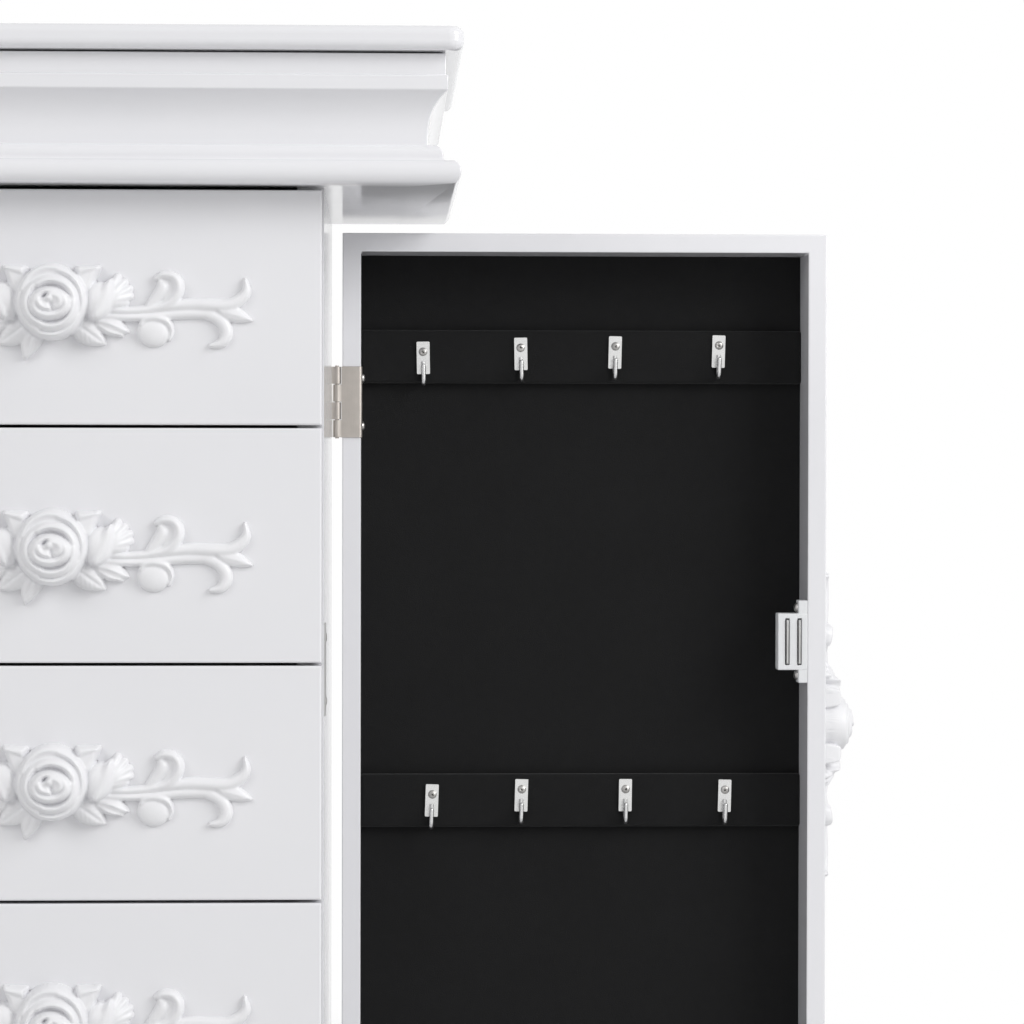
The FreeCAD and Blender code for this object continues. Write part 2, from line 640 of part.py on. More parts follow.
def fixed_leaves():
    """Cabinet leaves of both doors on the rear edges of the sides, and the lid's lower leaves."""
    leaf = flat_leaf(FIXED_LEAF_WIDTH, 0, PIN_RADIUS, BARREL_BEHIND_BACK)
    leaves = []
    for level in HINGE_LEVELS:
        right = moved(leaf, BARREL_X, BARREL_Y, level)
        leaves += [right, right.mirror(ORIGIN, X_AXIS)]
    lying = turned(flat_leaf(FIXED_LEAF_WIDTH, 0, PIN_RADIUS, LID_BARREL_BEHIND), Y_AXIS, -90)
    leaves += [moved(lying, x, LID_BARREL_Y, LID_BARREL_Z) for x in LID_HINGE_PLACES]
    return leaves


def lid_leaves():
    leaf = flat_leaf(LID_LEAF_WIDTH, 1, PIN_RADIUS + PIN_FIT, LID_BARREL_BEHIND)
    lying = turned(leaf.mirror(ORIGIN, X_AXIS), Y_AXIS, -90)
    return [moved(lying, x, LID_BARREL_Y, LID_BARREL_Z) for x in LID_HINGE_PLACES]


def hinge_pins():
    length = HINGE_LENGTH + 2 * PIN_OVERRUN
    pin = Part.makeCylinder(PIN_RADIUS, length, vec(0, 0, -length / 2))
    pins = [moved(pin, side * BARREL_X, BARREL_Y, level) for side in (-1, 1) for level in HINGE_LEVELS]
    lying = turned(pin, Y_AXIS, 90)
    pins += [moved(lying, x, LID_BARREL_Y, LID_BARREL_Z) for x in LID_HINGE_PLACES]
    return pins


def strike_plate():
    plate = block((HALF_BODY, HALF_BODY + STRIKE_THICKNESS),
                  (STRIKE_Y - STRIKE_WIDTH / 2, STRIKE_Y + STRIKE_WIDTH / 2),
                  (CATCH_Z - STRIKE_HEIGHT / 2, CATCH_Z + STRIKE_HEIGHT / 2))
    return without(plate, strike_pilots())


def cabinet_screws():
    """Screws of the strike plates and of every leaf that is fixed to the cabinet."""
    right = []
    for level in STRIKE_LEVELS:
        fixing = aimed(screw(STRIKE_SCREW, SCREW_LENGTH), "+x")
        right.append(moved(fixing, HALF_BODY + STRIKE_THICKNESS, STRIKE_Y, level))
    fixing = aimed(screw(HINGE_SCREW, SCREW_LENGTH), "+y")
    for level in HINGE_LEVELS:
        for rise in HINGE_SCREW_RISES:
            right.append(moved(fixing, BARREL_X - FIXED_SCREW_X, BACK_Y + LEAF_THICKNESS, level + rise))
    left = [one.mirror(ORIGIN, X_AXIS) for one in right]
    lid = [moved(fixing, x + rise, BACK_Y + LEAF_THICKNESS, LID_BARREL_Z - FIXED_SCREW_X)
           for x in LID_HINGE_PLACES for rise in HINGE_SCREW_RISES]
    return right + left + lid


def lid_screws():
    fixing = aimed(screw(HINGE_SCREW, SCREW_LENGTH), "+y")
    return [moved(fixing, x + rise, BACK_Y + LEAF_THICKNESS, LID_BARREL_Z + LID_SCREW_Z)
            for x in LID_HINGE_PLACES for rise in HINGE_SCREW_RISES]


# ---- drawers ----------------------------------------------------------------------------
def drawer_bottom(number):
    """Lowest level of a drawer's front; drawer 1 is the top one."""
    return BASE_TOP + (DRAWER_COUNT - number) * DRAWER_PITCH + DRAWER_GAP / 2


def drawer_front(bottom):
    half = HALF_BODY - DRAWER_FRONT_INSET
    front = block((-half, half), (DRAWER_FACE_Y, DRAWER_BACK_Y), (bottom, bottom + DRAWER_FRONT_HEIGHT))
    return rounded(front, DRAWER_FRONT_EDGE, lambda b: b.YMax < DRAWER_FACE_Y + 0.01)


def drawer_box(bottom):
    """Two grooved sides, an inner front, a back and a bottom board."""
    low = bottom + BOX_LIFT
    high = low + BOX_HEIGHT
    inner = BOX_X - BOX_WALL
    groove_z = bottom + RUNNER_RISE
    groove = block((BOX_X - RUNNER_GRIP - RUNNER_FIT_DEPTH, BOX_X), (DRAWER_BACK_Y, BOX_BACK_Y),
                   (groove_z - RUNNER_FIT_BOTTOM, groove_z + RUNNER_HEIGHT + RUNNER_FIT_TOP))
    right = block((inner, BOX_X), (DRAWER_BACK_Y, BOX_BACK_Y), (low, high)).cut(groove)
    left = right.mirror(ORIGIN, X_AXIS)
    inner_front = block((-inner, inner), (DRAWER_BACK_Y, DRAWER_BACK_Y + BOX_WALL), (low, high))
    back = block((-inner, inner), (BOX_BACK_Y - BOX_WALL, BOX_BACK_Y), (low, high))
    floor = block((-inner, inner), (DRAWER_BACK_Y + BOX_WALL, BOX_BACK_Y - BOX_WALL),
                  (low, low + BOX_BOTTOM))
    return left, right, inner_front, back, floor


def drawer_liner(bottom):
    """Felt over the drawer's floor and up its four walls."""
    low = bottom + BOX_LIFT + BOX_BOTTOM
    high = bottom + BOX_LIFT + BOX_HEIGHT
    x = BOX_X - BOX_WALL
    front = DRAWER_BACK_Y + BOX_WALL
    back = BOX_BACK_Y - BOX_WALL
    outside = block((-x, x), (front, back), (low, high))
    inside = block((-x + LINER_THICKNESS, x - LINER_THICKNESS),
                   (front + LINER_THICKNESS, back - LINER_THICKNESS), (low + LINER_THICKNESS, high))
    return outside.cut(inside)


def drawer_runners():
    rails = []
    for number in range(1, DRAWER_COUNT + 1):
        low = drawer_bottom(number) + RUNNER_RISE
        right = block((BOX_X - RUNNER_GRIP, HALF_INSIDE), (BODY_FRONT_Y + RUNNER_SETBACK, BACK_PANEL_Y),
                      (low, low + RUNNER_HEIGHT))
        rails += [right, right.mirror(ORIGIN, X_AXIS)]
    return rails


# ---- carved applique --------------------------------------------------------------------
def disc(x, z, radius, relief):
    """Round boss with a softened top that stands out from the plane y = 0 towards -Y."""
    rim = relief * 0.55
    body = Part.makeCylinder(radius, rim, vec(x, 0, z), vec(0, -1, 0))
    cap = Part.makeCone(radius, radius * 0.55, relief - rim, vec(x, -rim, z), vec(0, -1, 0))
    return body.fuse(cap)


def leaf(x, z, length, width, degrees, relief):
    """Pointed leaf between two arcs, from a stalk at (x, z) out along an angle."""
    tip = vec(length, 0, 0)
    upper = Part.Arc(ORIGIN, vec(length / 2, 0, width / 2), tip).toShape()
    lower = Part.Arc(tip, vec(length / 2, 0, -width / 2), ORIGIN).toShape()
    blade = Part.Face(Part.Wire([upper, lower])).extrude(vec(0, -relief, 0))
    return moved(turned(blade, Y_AXIS, -degrees), x, 0, z)


def scroll(x, z, radius, start, end):
    """Curved stem: part of a ring about (x, z) between two angles."""
    ring = []
    for r in (radius + SCROLL_WIDTH / 2, radius - SCROLL_WIDTH / 2):
        points = [vec(x + r * math.cos(math.radians(a)), 0, z + r * math.sin(math.radians(a)))
                  for a in (start, (start + end) / 2, end)]
        ring.append(points)
    outer, inner = ring
    edges = [Part.Arc(*outer), Part.LineSegment(outer[2], inner[2]),
             Part.Arc(inner[2], inner[1], inner[0]), Part.LineSegment(inner[0], outer[0])]
    face = Part.Face(Part.Wire([edge.toShape() for edge in edges]))
    return face.extrude(vec(0, -SCROLL_RELIEF, 0))


def rose():
    """Tiers of petals round a raised heart."""
    outer, middle = ROSE_RADIUS * 0.56, ROSE_RADIUS * 0.4
    bodies = [disc(0, 0, ROSE_RADIUS * 0.3, ROSE_RELIEF)]
    for i in range(5):
        angle = math.radians(90 + 72 * i)
        reach = ROSE_RADIUS - outer
        bodies.append(disc(reach * math.cos(angle), reach * math.sin(angle), outer, ROSE_RELIEF * 0.6))
    for i in range(3):
        angle = math.radians(30 + 120 * i)
        reach = ROSE_RADIUS * 0.25
        bodies.append(disc(reach * math.cos(angle), reach * math.sin(angle), middle, ROSE_RELIEF * 0.85))
    return bodies


def right_spray():
    """What grows to the right of the rose: a bud, leaves, a berry and the scrolled stems."""
    return [
        disc(27, -1, BUD_RADIUS, BUD_RELIEF),
        leaf(21, 2, 15, 10, 62, BUD_RELIEF * 0.8),
        leaf(31, 2, 15, 9, 24, LEAF_RELIEF),
        leaf(10, -8, 30, 13, -43, LEAF_RELIEF),
        leaf(24, -9, 25, 10, -34, LEAF_RELIEF),
        scroll(66, 70, 79, -115, -69),
        scroll(99, 7, 15, -122, -10),
        scroll(62, 3, 9.5, -75, 80),
        scroll(89.5, -16.5, 8.5, 76, -90),
        leaf(93, -9, 20, 6, -22, LEAF_RELIEF),
        disc(56.2, -19.5, BERRY_RADIUS, BERRY_RELIEF),
        scroll(56.2, -19.5, 9.5, 110, -20),
    ]


def carving():
    """Rose applique lying along X, its back on the plane y = 0."""
    right = right_spray()
    left = [one.mirror(ORIGIN, X_AXIS) for one in right]
    lone_leaf = leaf(-6, -12, 24, 11, -112, LEAF_RELIEF)
    return fused(rose() + right + left + [lone_leaf])


def drawer_applique(bottom, rise):
    return moved(carving(), 0, DRAWER_FACE_Y, bottom + DRAWER_FRONT_HEIGHT / 2 + rise)


def door_applique():
    """The same carving, smaller, upright on the door's free edge, its lone leaf to the back."""
    small = carving()
    small.scale(DOOR_CARVING_SCALE, ORIGIN)
    upright = turned(turned(small, Y_AXIS, -90), Z_AXIS, 90)
    return moved(upright, DOOR_FREE_EDGE, DOOR_RIM + DOOR_DEPTH / 2 - DOOR_CARVING_SHIFT,
                 DOOR_TOP - DOOR_CARVING_DROP)


# ---- side doors, drawn open at a right angle about a hinge on the Z axis ----------------
def door_frame():
    """Top and bottom rails with the two stiles between them."""
    depth = (DOOR_RIM, DOOR_SKIN_Y)
    across = (DOOR_HINGE_EDGE, DOOR_FREE_EDGE)
    between = (DOOR_BOTTOM + DOOR_WALL, DOOR_TOP - DOOR_WALL)
    top = block(across, depth, (DOOR_TOP - DOOR_WALL, DOOR_TOP))
    bottom = block(across, depth, (DOOR_BOTTOM, DOOR_BOTTOM + DOOR_WALL))
    hinge_stile = block((DOOR_HINGE_EDGE, DOOR_HINGE_EDGE + DOOR_WALL), depth, between)
    holes = [moved(hole, 0, 0, level) for level in HINGE_LEVELS for hole in wrap_pilots()]
    free_stile = block((DOOR_FREE_EDGE - DOOR_WALL, DOOR_FREE_EDGE), depth, between)
    return top, bottom, without(hinge_stile, holes), without(free_stile, catch_pilots())


def door_skin():
    skin = block((DOOR_HINGE_EDGE, DOOR_FREE_EDGE), (DOOR_SKIN_Y, DOOR_RIM + DOOR_DEPTH),
                 (DOOR_BOTTOM, DOOR_TOP))
    back = DOOR_RIM + DOOR_DEPTH
    return rounded(skin, DOOR_EDGE_RADIUS, lambda b: b.YMin > back - 0.01)


def door_felt():
    return block((DOOR_HINGE_EDGE + DOOR_WALL, DOOR_FREE_EDGE - DOOR_WALL), (FELT_FACE, DOOR_SKIN_Y),
                 (DOOR_BOTTOM + DOOR_WALL, DOOR_TOP - DOOR_WALL))


def hook_places():
    """X and plate-top Z of every hook on a door."""
    rows = ((UPPER_RAIL_DROP, UPPER_HOOKS), (LOWER_RAIL_DROP, LOWER_HOOKS))
    return [(DOOR_HINGE_EDGE + x, DOOR_TOP - rail_drop - plate_drop)
            for rail_drop, row in rows for x, plate_drop in row]


def hook_rails():
    across = (DOOR_HINGE_EDGE + DOOR_WALL, DOOR_FREE_EDGE - DOOR_WALL)
    holes = [moved(aimed(pilot(HOOK_SCREW, HOOK_SCREW_LENGTH), "-y"),
                   x, RAIL_FACE - HOOK_PLATE_THICKNESS, z - HOOK_SCREW_DROP) for x, z in hook_places()]
    rails = []
    for drop in (UPPER_RAIL_DROP, LOWER_RAIL_DROP):
        top = DOOR_TOP - drop
        rail = block(across, (RAIL_FACE, FELT_FACE), (top - RAIL_HEIGHT, top))
        rail = rounded(rail, RAIL_EDGE_RADIUS, lambda b: b.YMax < RAIL_FACE + 0.01)
        rails.append(without(rail, holes))
    return rails


def hook():
    """Plate with a J-shaped wire, its back on y = 0, the plate's top at z = 0."""
    half = HOOK_PLATE_WIDTH / 2
    plate = block((-half, half), (-HOOK_PLATE_THICKNESS, 0), (-HOOK_PLATE_HEIGHT, 0))
    plate = rounded(plate, HOOK_PLATE_CORNER, lambda b: b.XLength < 0.01 and b.ZLength < 0.01)
    back = -HOOK_PLATE_THICKNESS - HOOK_WIRE_RADIUS + HOOK_WIRE_SINK
    front = back - 2 * HOOK_BEND_RADIUS
    bend = -HOOK_WIRE_DROP
    start = vec(0, back, -HOOK_WIRE_START)
    down = vec(0, back, bend)
    under = vec(0, (back + front) / 2, bend - HOOK_BEND_RADIUS)
    up = vec(0, front, bend)
    tip = vec(0, front, bend + HOOK_TIP_RISE)
    path = Part.Wire([Part.LineSegment(start, down).toShape(), Part.Arc(down, under, up).toShape(),
                      Part.LineSegment(up, tip).toShape()])
    ring = Part.Wire(Part.makeCircle(HOOK_WIRE_RADIUS, start, vec(0, 0, -1)))
    wire = path.makePipeShell([ring], True, False)
    hole = moved(aimed(pilot(HOOK_SCREW, HOOK_SCREW_LENGTH), "-y"), 0, -HOOK_PLATE_THICKNESS,
                 -HOOK_SCREW_DROP)
    ball = Part.makeSphere(HOOK_WIRE_RADIUS, tip)
    return fused([plate, wire, ball]).cut(hole)


def hooks():
    return [moved(hook(), x, RAIL_FACE, z) for x, z in hook_places()]


def catch_screw_place(rise):
    """Point on the flange's face where a catch screw's head sits."""
    return (CATCH_WALL - CATCH_FLANGE_THICKNESS, DOOR_RIM + CATCH_FLANGE_DEPTH / 2, CATCH_Z + rise)


def catch_pilots():
    return [moved(aimed(pilot(CATCH_SCREW, CATCH_SCREW_LENGTH), "-x"), *catch_screw_place(rise))
            for rise in (-CATCH_SCREW_SPACING / 2, CATCH_SCREW_SPACING / 2)]


def magnetic_catch():
    """Plastic housing with its flange, and the two steel pole plates that stand out of it."""
    flange = block((CATCH_WALL - CATCH_FLANGE_THICKNESS, CATCH_WALL),
                   (DOOR_RIM, DOOR_RIM + CATCH_FLANGE_DEPTH),
                   (CATCH_Z - CATCH_FLANGE_HEIGHT / 2, CATCH_Z + CATCH_FLANGE_HEIGHT / 2))
    body = block((CATCH_WALL - CATCH_BODY_REACH, CATCH_WALL), (DOOR_RIM, DOOR_RIM + CATCH_BODY_DEPTH),
                 (CATCH_Z - CATCH_BODY_HEIGHT / 2, CATCH_Z + CATCH_BODY_HEIGHT / 2))
    free_end = CATCH_WALL - CATCH_BODY_REACH
    body = rounded(body, CATCH_BODY_EDGE, lambda b: b.XMax < free_end + 0.01)
    housing = without(fused([flange, body]), catch_pilots())
    poles = []
    for x in (CATCH_WALL - POLE_FROM_WALL, CATCH_WALL - POLE_FROM_WALL - POLE_SPACING):
        pole = block((x - POLE_WIDTH / 2, x + POLE_WIDTH / 2),
                     (DOOR_RIM - POLE_PROUD, DOOR_RIM + POLE_DEPTH),
                     (CATCH_Z - POLE_HEIGHT / 2, CATCH_Z + POLE_HEIGHT / 2))
        housing = housing.cut(pole)
        poles.append(pole)
    return [housing] + poles


def door_screws():
    """Screws of the door leaves, the hooks and the catch."""
    x, y = wrap_screw_place()
    hinge = aimed(screw(HINGE_SCREW, SCREW_LENGTH), "+x")
    fixings = [moved(hinge, x, y, level + rise) for level in HINGE_LEVELS for rise in HINGE_SCREW_RISES]
    for hook_x, hook_z in hook_places():
        one = aimed(screw(HOOK_SCREW, HOOK_SCREW_LENGTH), "-y")
        fixings.append(moved(one, hook_x, RAIL_FACE - HOOK_PLATE_THICKNESS, hook_z - HOOK_SCREW_DROP))
    for rise in (-CATCH_SCREW_SPACING / 2, CATCH_SCREW_SPACING / 2):
        one = aimed(screw(CATCH_SCREW, CATCH_SCREW_LENGTH), "-x")
        fixings.append(moved(one, *catch_screw_place(rise)))
    return fixings


def open_on_right(shape):
    return moved(shape, BARREL_X, BARREL_Y)


def closed_on_left(shape):
    """The right door's piece mirrored, then swung shut about the left hinge."""
    mirrored = open_on_right(shape).mirror(ORIGIN, X_AXIS)
    return turned(mirrored, Z_AXIS, 90, vec(-BARREL_X, BARREL_Y, 0))


# ---- write every piece ------------------------------------------------------------------
def save_cabinet():
    right = side_panel()
    save("right_side_panel", right)
    save("left_side_panel", right.mirror(ORIGIN, X_AXIS))
    save("back_panel", back_panel())
    save("base_board", base_board())
    save("base_mouldings", *base_mouldings())
    save("feet", *feet())
    save("top_board", top_board())
    runs = three_mouldings(crown_outline(), CROWN_THICKNESS, HALF_TOP, FRONT_Y, CROWN_BOTTOM, CROWN_TOP)
    for name, run in zip(("front", "left", "right"), runs):
        save(name + "_crown_moulding", run)
    save("crown_back_rail", crown_back_rail())
    save("top_tray", top_tray())
    save("ring_rolls", *ring_rolls())
    save("drawer_runners", *drawer_runners())
    save("cabinet_hinge_leaves", *fixed_leaves())
    save("hinge_pins", *hinge_pins())
    plate = strike_plate()
    save("strike_plates", plate, plate.mirror(ORIGIN, X_AXIS))
    save("cabinet_screws", *cabinet_screws())


def save_lid():
    save("lid_board", lid_board())
    save("lid_mirror", lid_mirror())
    save("lid_hinge_leaves", *lid_leaves())
    save("lid_screws", *lid_screws())


def save_drawers():
    for number in range(1, DRAWER_COUNT + 1):
        bottom = drawer_bottom(number)
        name = "drawer_" + str(number)
        save(name + "_front", drawer_front(bottom))
        save(name + "_box", *drawer_box(bottom))
        save(name + "_liner", drawer_liner(bottom))
        save(name + "_applique", drawer_applique(bottom, DRAWER_ROSE_RISES[number - 1]))


def save_doors():
    pieces = {
        "frame": list(door_frame()), "skin": [door_skin()], "felt": [door_felt()],
        "hook_rails": hook_rails(), "hooks": hooks(), "catch": magnetic_catch(),
        "hinge_leaves": door_leaves(), "screws": door_screws(), "applique": [door_applique()],
    }
    for side, place in (("right", open_on_right), ("left", closed_on_left)):
        for name, solids in pieces.items():
            save(side + "_door_" + name, *[place(solid) for solid in solids])


os.makedirs("parts", exist_ok=True)
save_cabinet()
save_lid()
save_drawers()
save_doors()
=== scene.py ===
# %% [markdown]
# # A white jewellery cabinet with a carved rose on every drawer
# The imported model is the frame: every board, drawer, door and hinge is already in its place
# and at its real size. This lesson dresses it. Each step first says what a piece or a finish
# is on the real cabinet, and then makes it. Lengths are metres. +X is the cabinet's right,
# -Y its front and +Z up, and the origin is on the floor under the middle of the lid.

# %% Load the frame
import json
import math

import bmesh
import bpy
import numpy as np
from mathutils import Matrix, Vector


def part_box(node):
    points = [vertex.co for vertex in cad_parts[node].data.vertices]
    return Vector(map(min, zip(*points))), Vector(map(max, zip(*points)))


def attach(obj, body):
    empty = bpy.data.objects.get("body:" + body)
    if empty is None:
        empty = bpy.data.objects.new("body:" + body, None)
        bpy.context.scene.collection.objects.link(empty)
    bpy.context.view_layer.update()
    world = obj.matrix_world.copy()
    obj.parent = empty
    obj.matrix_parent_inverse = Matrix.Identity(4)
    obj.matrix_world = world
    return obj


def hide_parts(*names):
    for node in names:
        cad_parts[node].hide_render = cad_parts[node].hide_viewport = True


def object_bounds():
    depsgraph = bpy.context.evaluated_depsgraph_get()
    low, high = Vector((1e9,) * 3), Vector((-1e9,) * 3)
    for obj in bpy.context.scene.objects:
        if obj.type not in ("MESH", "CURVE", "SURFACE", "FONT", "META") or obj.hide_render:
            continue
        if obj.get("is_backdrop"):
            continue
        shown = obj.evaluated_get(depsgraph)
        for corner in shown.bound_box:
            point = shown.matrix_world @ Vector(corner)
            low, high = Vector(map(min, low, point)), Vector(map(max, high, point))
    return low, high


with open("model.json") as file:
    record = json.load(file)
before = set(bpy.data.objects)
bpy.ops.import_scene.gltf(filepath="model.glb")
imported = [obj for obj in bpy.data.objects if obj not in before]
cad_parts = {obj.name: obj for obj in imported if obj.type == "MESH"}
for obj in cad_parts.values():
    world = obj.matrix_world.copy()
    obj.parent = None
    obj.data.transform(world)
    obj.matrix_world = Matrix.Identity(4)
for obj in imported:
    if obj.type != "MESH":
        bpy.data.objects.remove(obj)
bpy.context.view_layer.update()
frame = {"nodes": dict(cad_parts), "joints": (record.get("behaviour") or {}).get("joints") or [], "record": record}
MM = 0.001

# %% [markdown]
# ## The camera
# The photograph was taken with a long lens from about two metres, a little to the right of
# the cabinet and level with its upper drawers, so only the upper right part is in view. The
# camera's place was worked out from edges whose real size is known. A long lens is a long
# focal length on the usual 36 mm sensor, and no shift is needed.

# %% Camera
PICTURE_SIDE = 1024
FOCAL_IN_PIXELS = 3523.0
SENSOR_WIDTH = 36.0
CAMERA_PLACE = Vector((0.1839, -2.1107, 0.6619))
CAMERA_YAW = math.radians(-2.09)
CAMERA_PITCH = math.radians(-0.853)
CAMERA_ROLL = math.radians(0.097)

camera_data = bpy.data.cameras.new("photo_camera")
camera_data.sensor_width = SENSOR_WIDTH
camera_data.lens = FOCAL_IN_PIXELS * SENSOR_WIDTH / PICTURE_SIDE
camera = bpy.data.objects.new("photo_camera", camera_data)
level = Matrix.Rotation(CAMERA_YAW, 4, "Z") @ Matrix.Rotation(math.pi / 2 + CAMERA_PITCH, 4, "X")
camera.matrix_world = Matrix.Translation(CAMERA_PLACE) @ level @ Matrix.Rotation(CAMERA_ROLL, 4, "Z")
bpy.context.scene.collection.objects.link(camera)
bpy.context.scene.camera = camera
print("lens", round(camera_data.lens, 1), "mm")

# %% [markdown]
# ## Writing materials as sums
# A procedural finish is a small formula: a colour that drifts a little, a roughness that
# drifts the other way, a bump. The class below wraps a node's output, so that such a formula
# can be written with plain operators, and each operator becomes one Math node.

# %% A socket that can be added and multiplied
class Signal:
    """An output socket of a node tree that can be used in sums."""

    def __init__(self, tree, socket):
        self.tree = tree
        self.socket = socket

    def math(self, operation, first, second):
        return node(self.tree, "ShaderNodeMath", {"operation": operation}, {0: first, 1: second})

    def __add__(self, other):
        return self.math("ADD", self, other)

    def __radd__(self, other):
        return self.math("ADD", other, self)

    def __sub__(self, other):
        return self.math("SUBTRACT", self, other)

    def __rsub__(self, other):
        return self.math("SUBTRACT", other, self)

    def __mul__(self, other):
        return self.math("MULTIPLY", self, other)

    def __rmul__(self, other):
        return self.math("MULTIPLY", other, self)


def node(tree, kind, settings=None, inputs=None, output=0):
    """Adds any node: its settings first, then a value or a link for each socket."""
    made = tree.nodes.new(kind)
    for name, value in (settings or {}).items():
        setattr(made, name, value)
    for name, value in (inputs or {}).items():
        if isinstance(value, Signal):
            tree.links.new(value.socket, made.inputs[name])
        else:
            made.inputs[name].default_value = value
    return Signal(tree, made.outputs[output])


# %% Helpers that most finishes share
def grey(value):
    return (value, value, value, 1.0)


def place_on(tree, stretch=(1, 1, 1)):
    """The point of the surface in the object's own frame, in metres, stretched along its axes."""
    point = node(tree, "ShaderNodeTexCoord", output="Object")
    return node(tree, "ShaderNodeVectorMath", {"operation": "MULTIPLY"}, {0: point, 1: stretch})


def noise(tree, place, per_metre, detail=2.0, rough=0.5):
    return node(tree, "ShaderNodeTexNoise", None,
                {"Vector": place, "Scale": per_metre, "Detail": detail, "Roughness": rough})


def between(tree, factor, low, high):
    """A colour between two, by a factor from 0 to 1."""
    return node(tree, "ShaderNodeMix", {"data_type": "RGBA"}, {0: factor, 6: low, 7: high}, output=2)


def bump(tree, height, distance):
    return node(tree, "ShaderNodeBump", None, {"Height": height, "Distance": distance})


def material(name, build, **sockets):
    """A Principled material. build(tree) gives what varies; sockets are plain values."""
    made = bpy.data.materials.new(name)
    made.use_nodes = True
    tree = made.node_tree
    shader = tree.nodes["Principled BSDF"]
    for socket, value in sockets.items():
        shader.inputs[socket.replace("_", " ")].default_value = value
    for socket, signal in build(tree).items():
        tree.links.new(signal.socket, shader.inputs[socket])
    return made


# %% [markdown]
# ## White lacquer
# The boards are sprayed in several coats of white lacquer and polished. The colour is a cool
# white that is never quite even, the gloss is high but broken by a very fine orange peel,
# and broad waves left by sanding bend the reflections a little. One noise drives colour and
# roughness, two more the bump, all in the object's own metres, so nothing slides when a
# drawer or door moves.

# %% Lacquer on the boards
def lacquer_look(tree):
    place = place_on(tree)
    drift = noise(tree, place, 7.0, 3.0)
    mist = noise(tree, place, 420.0, 1.0)
    waves = noise(tree, place, 32.0, 1.0)
    peel = noise(tree, place, 650.0, 2.0)
    relief = peel * 0.12 + waves
    return {
        "Base Color": between(tree, drift, LACQUER_LOW, LACQUER_HIGH),
        "Roughness": 0.07 + drift * 0.05 + mist * 0.03,
        "Normal": bump(tree, relief, 0.00006),
    }


LACQUER_LOW = (0.775, 0.775, 0.800, 1.0)
LACQUER_HIGH = (0.825, 0.823, 0.843, 1.0)
lacquer = material("white_lacquer", lacquer_look, IOR=1.5)


# %% [markdown]
# The carvings are cast, glued on and sprayed with the same lacquer, which dulls in the
# creases. The mesh of a carving keeps how deep each point lies below its surroundings as an
# attribute: it roughens the gloss there and darkens the colour as painted shade in the creases.

# %% Lacquer on the carvings, with painted shade in the creases
def carving_look(tree):
    place = place_on(tree)
    # The attribute below is how deep a point lies in the creases: it darkens the colour as painted shade and
    # roughens the gloss.
    crease = node(tree, "ShaderNodeAttribute", {"attribute_name": "crease"}, output="Fac")
    drift = noise(tree, place, 40.0, 3.0)
    grain = noise(tree, place, 900.0, 2.0)
    clean = between(tree, drift, CARVING_LOW, CARVING_HIGH)
    return {
        "Base Color": between(tree, crease, clean, CARVING_CREASE_SHADE),
        "Roughness": 0.36 + drift * 0.08 + crease * 0.25,
        "Normal": bump(tree, grain, 0.00005),
    }


CARVING_LOW = (0.800, 0.800, 0.820, 1.0)
CARVING_HIGH = (0.850, 0.848, 0.862, 1.0)
# The darkest colour, at the bottom of the creases, is painted shade.
CARVING_CREASE_SHADE = (0.700, 0.700, 0.725, 1.0)
carving_lacquer = material("carving_lacquer", carving_look, IOR=1.5)


# %% [markdown]
# ## Felt, board and wood
# The trays, rails and drawers are lined with black flocked felt: almost no gloss, a soft
# sheen at grazing angles, and short fibres that catch the light unevenly. The back is thin
# painted hardboard, the drawer boxes are wood under thin white paint that lets the grain's
# ridges show, and the runners are waxed beech.

# %% Felt
def felt_look(tree):
    place = place_on(tree)
    fibres = noise(tree, place, 1400.0, 3.0, 0.7)
    clouds = noise(tree, place, 18.0, 3.0)
    nap = noise(tree, place, 160.0, 2.0)
    return {
        "Base Color": between(tree, fibres * 0.6 + clouds * 0.4, FELT_DARK, FELT_LIGHT),
        "Roughness": 0.86 + nap * 0.12,
        "Normal": bump(tree, fibres + nap * 0.6, 0.0004),
    }


FELT_DARK = (0.0070, 0.0070, 0.0072, 1.0)
FELT_LIGHT = (0.0150, 0.0152, 0.0155, 1.0)
felt = material("black_felt", felt_look, Sheen_Weight=0.10, Sheen_Roughness=0.45,
                Specular_IOR_Level=0.15)


# %% Painted hardboard
def hardboard_look(tree):
    place = place_on(tree)
    drift = noise(tree, place, 6.0, 3.0)
    pores = noise(tree, place, 1100.0, 3.0, 0.65)
    return {
        "Base Color": between(tree, drift * 0.5 + pores * 0.5, HARDBOARD_LOW, HARDBOARD_HIGH),
        "Roughness": 0.42 + pores * 0.2,
        "Normal": bump(tree, pores, 0.0002),
    }


HARDBOARD_LOW = (0.70, 0.70, 0.71, 1.0)
HARDBOARD_HIGH = (0.79, 0.79, 0.80, 1.0)
hardboard = material("painted_hardboard", hardboard_look)


# %% Wood: thinly painted for the drawer boxes, waxed for the runners
def wood_look(low, high, along, gloss):
    """Grain along one axis: noise stretched along it, and finer pores."""
    def build(tree):
        stretch = [26.0 if axis != along else 1.6 for axis in "xyz"]
        place = place_on(tree, stretch)
        rings = noise(tree, place, 1.0, 4.0, 0.6)
        pores = noise(tree, place, 22.0, 2.0, 0.6)
        return {
            "Base Color": between(tree, rings * 0.75 + pores * 0.25, low, high),
            "Roughness": gloss + pores * 0.2,
            "Normal": bump(tree, pores + rings * 0.5, 0.0003),
        }
    return build


drawer_wood = material("drawer_paint",
                       wood_look((0.70, 0.70, 0.71, 1.0), (0.80, 0.80, 0.81, 1.0), "y", 0.38))
runner_wood = material("runner_beech",
                       wood_look((0.33, 0.18, 0.09, 1.0), (0.58, 0.37, 0.20, 1.0), "y", 0.50))


# %% [markdown]
# ## Metals, plastic and glass
# The hinges are pressed steel with a warm nickel plating, brushed along their length. The
# hooks are brighter nickel. Screws and plates are zinc plated, the catch is moulded in
# white plastic, and the lid holds a silvered mirror.

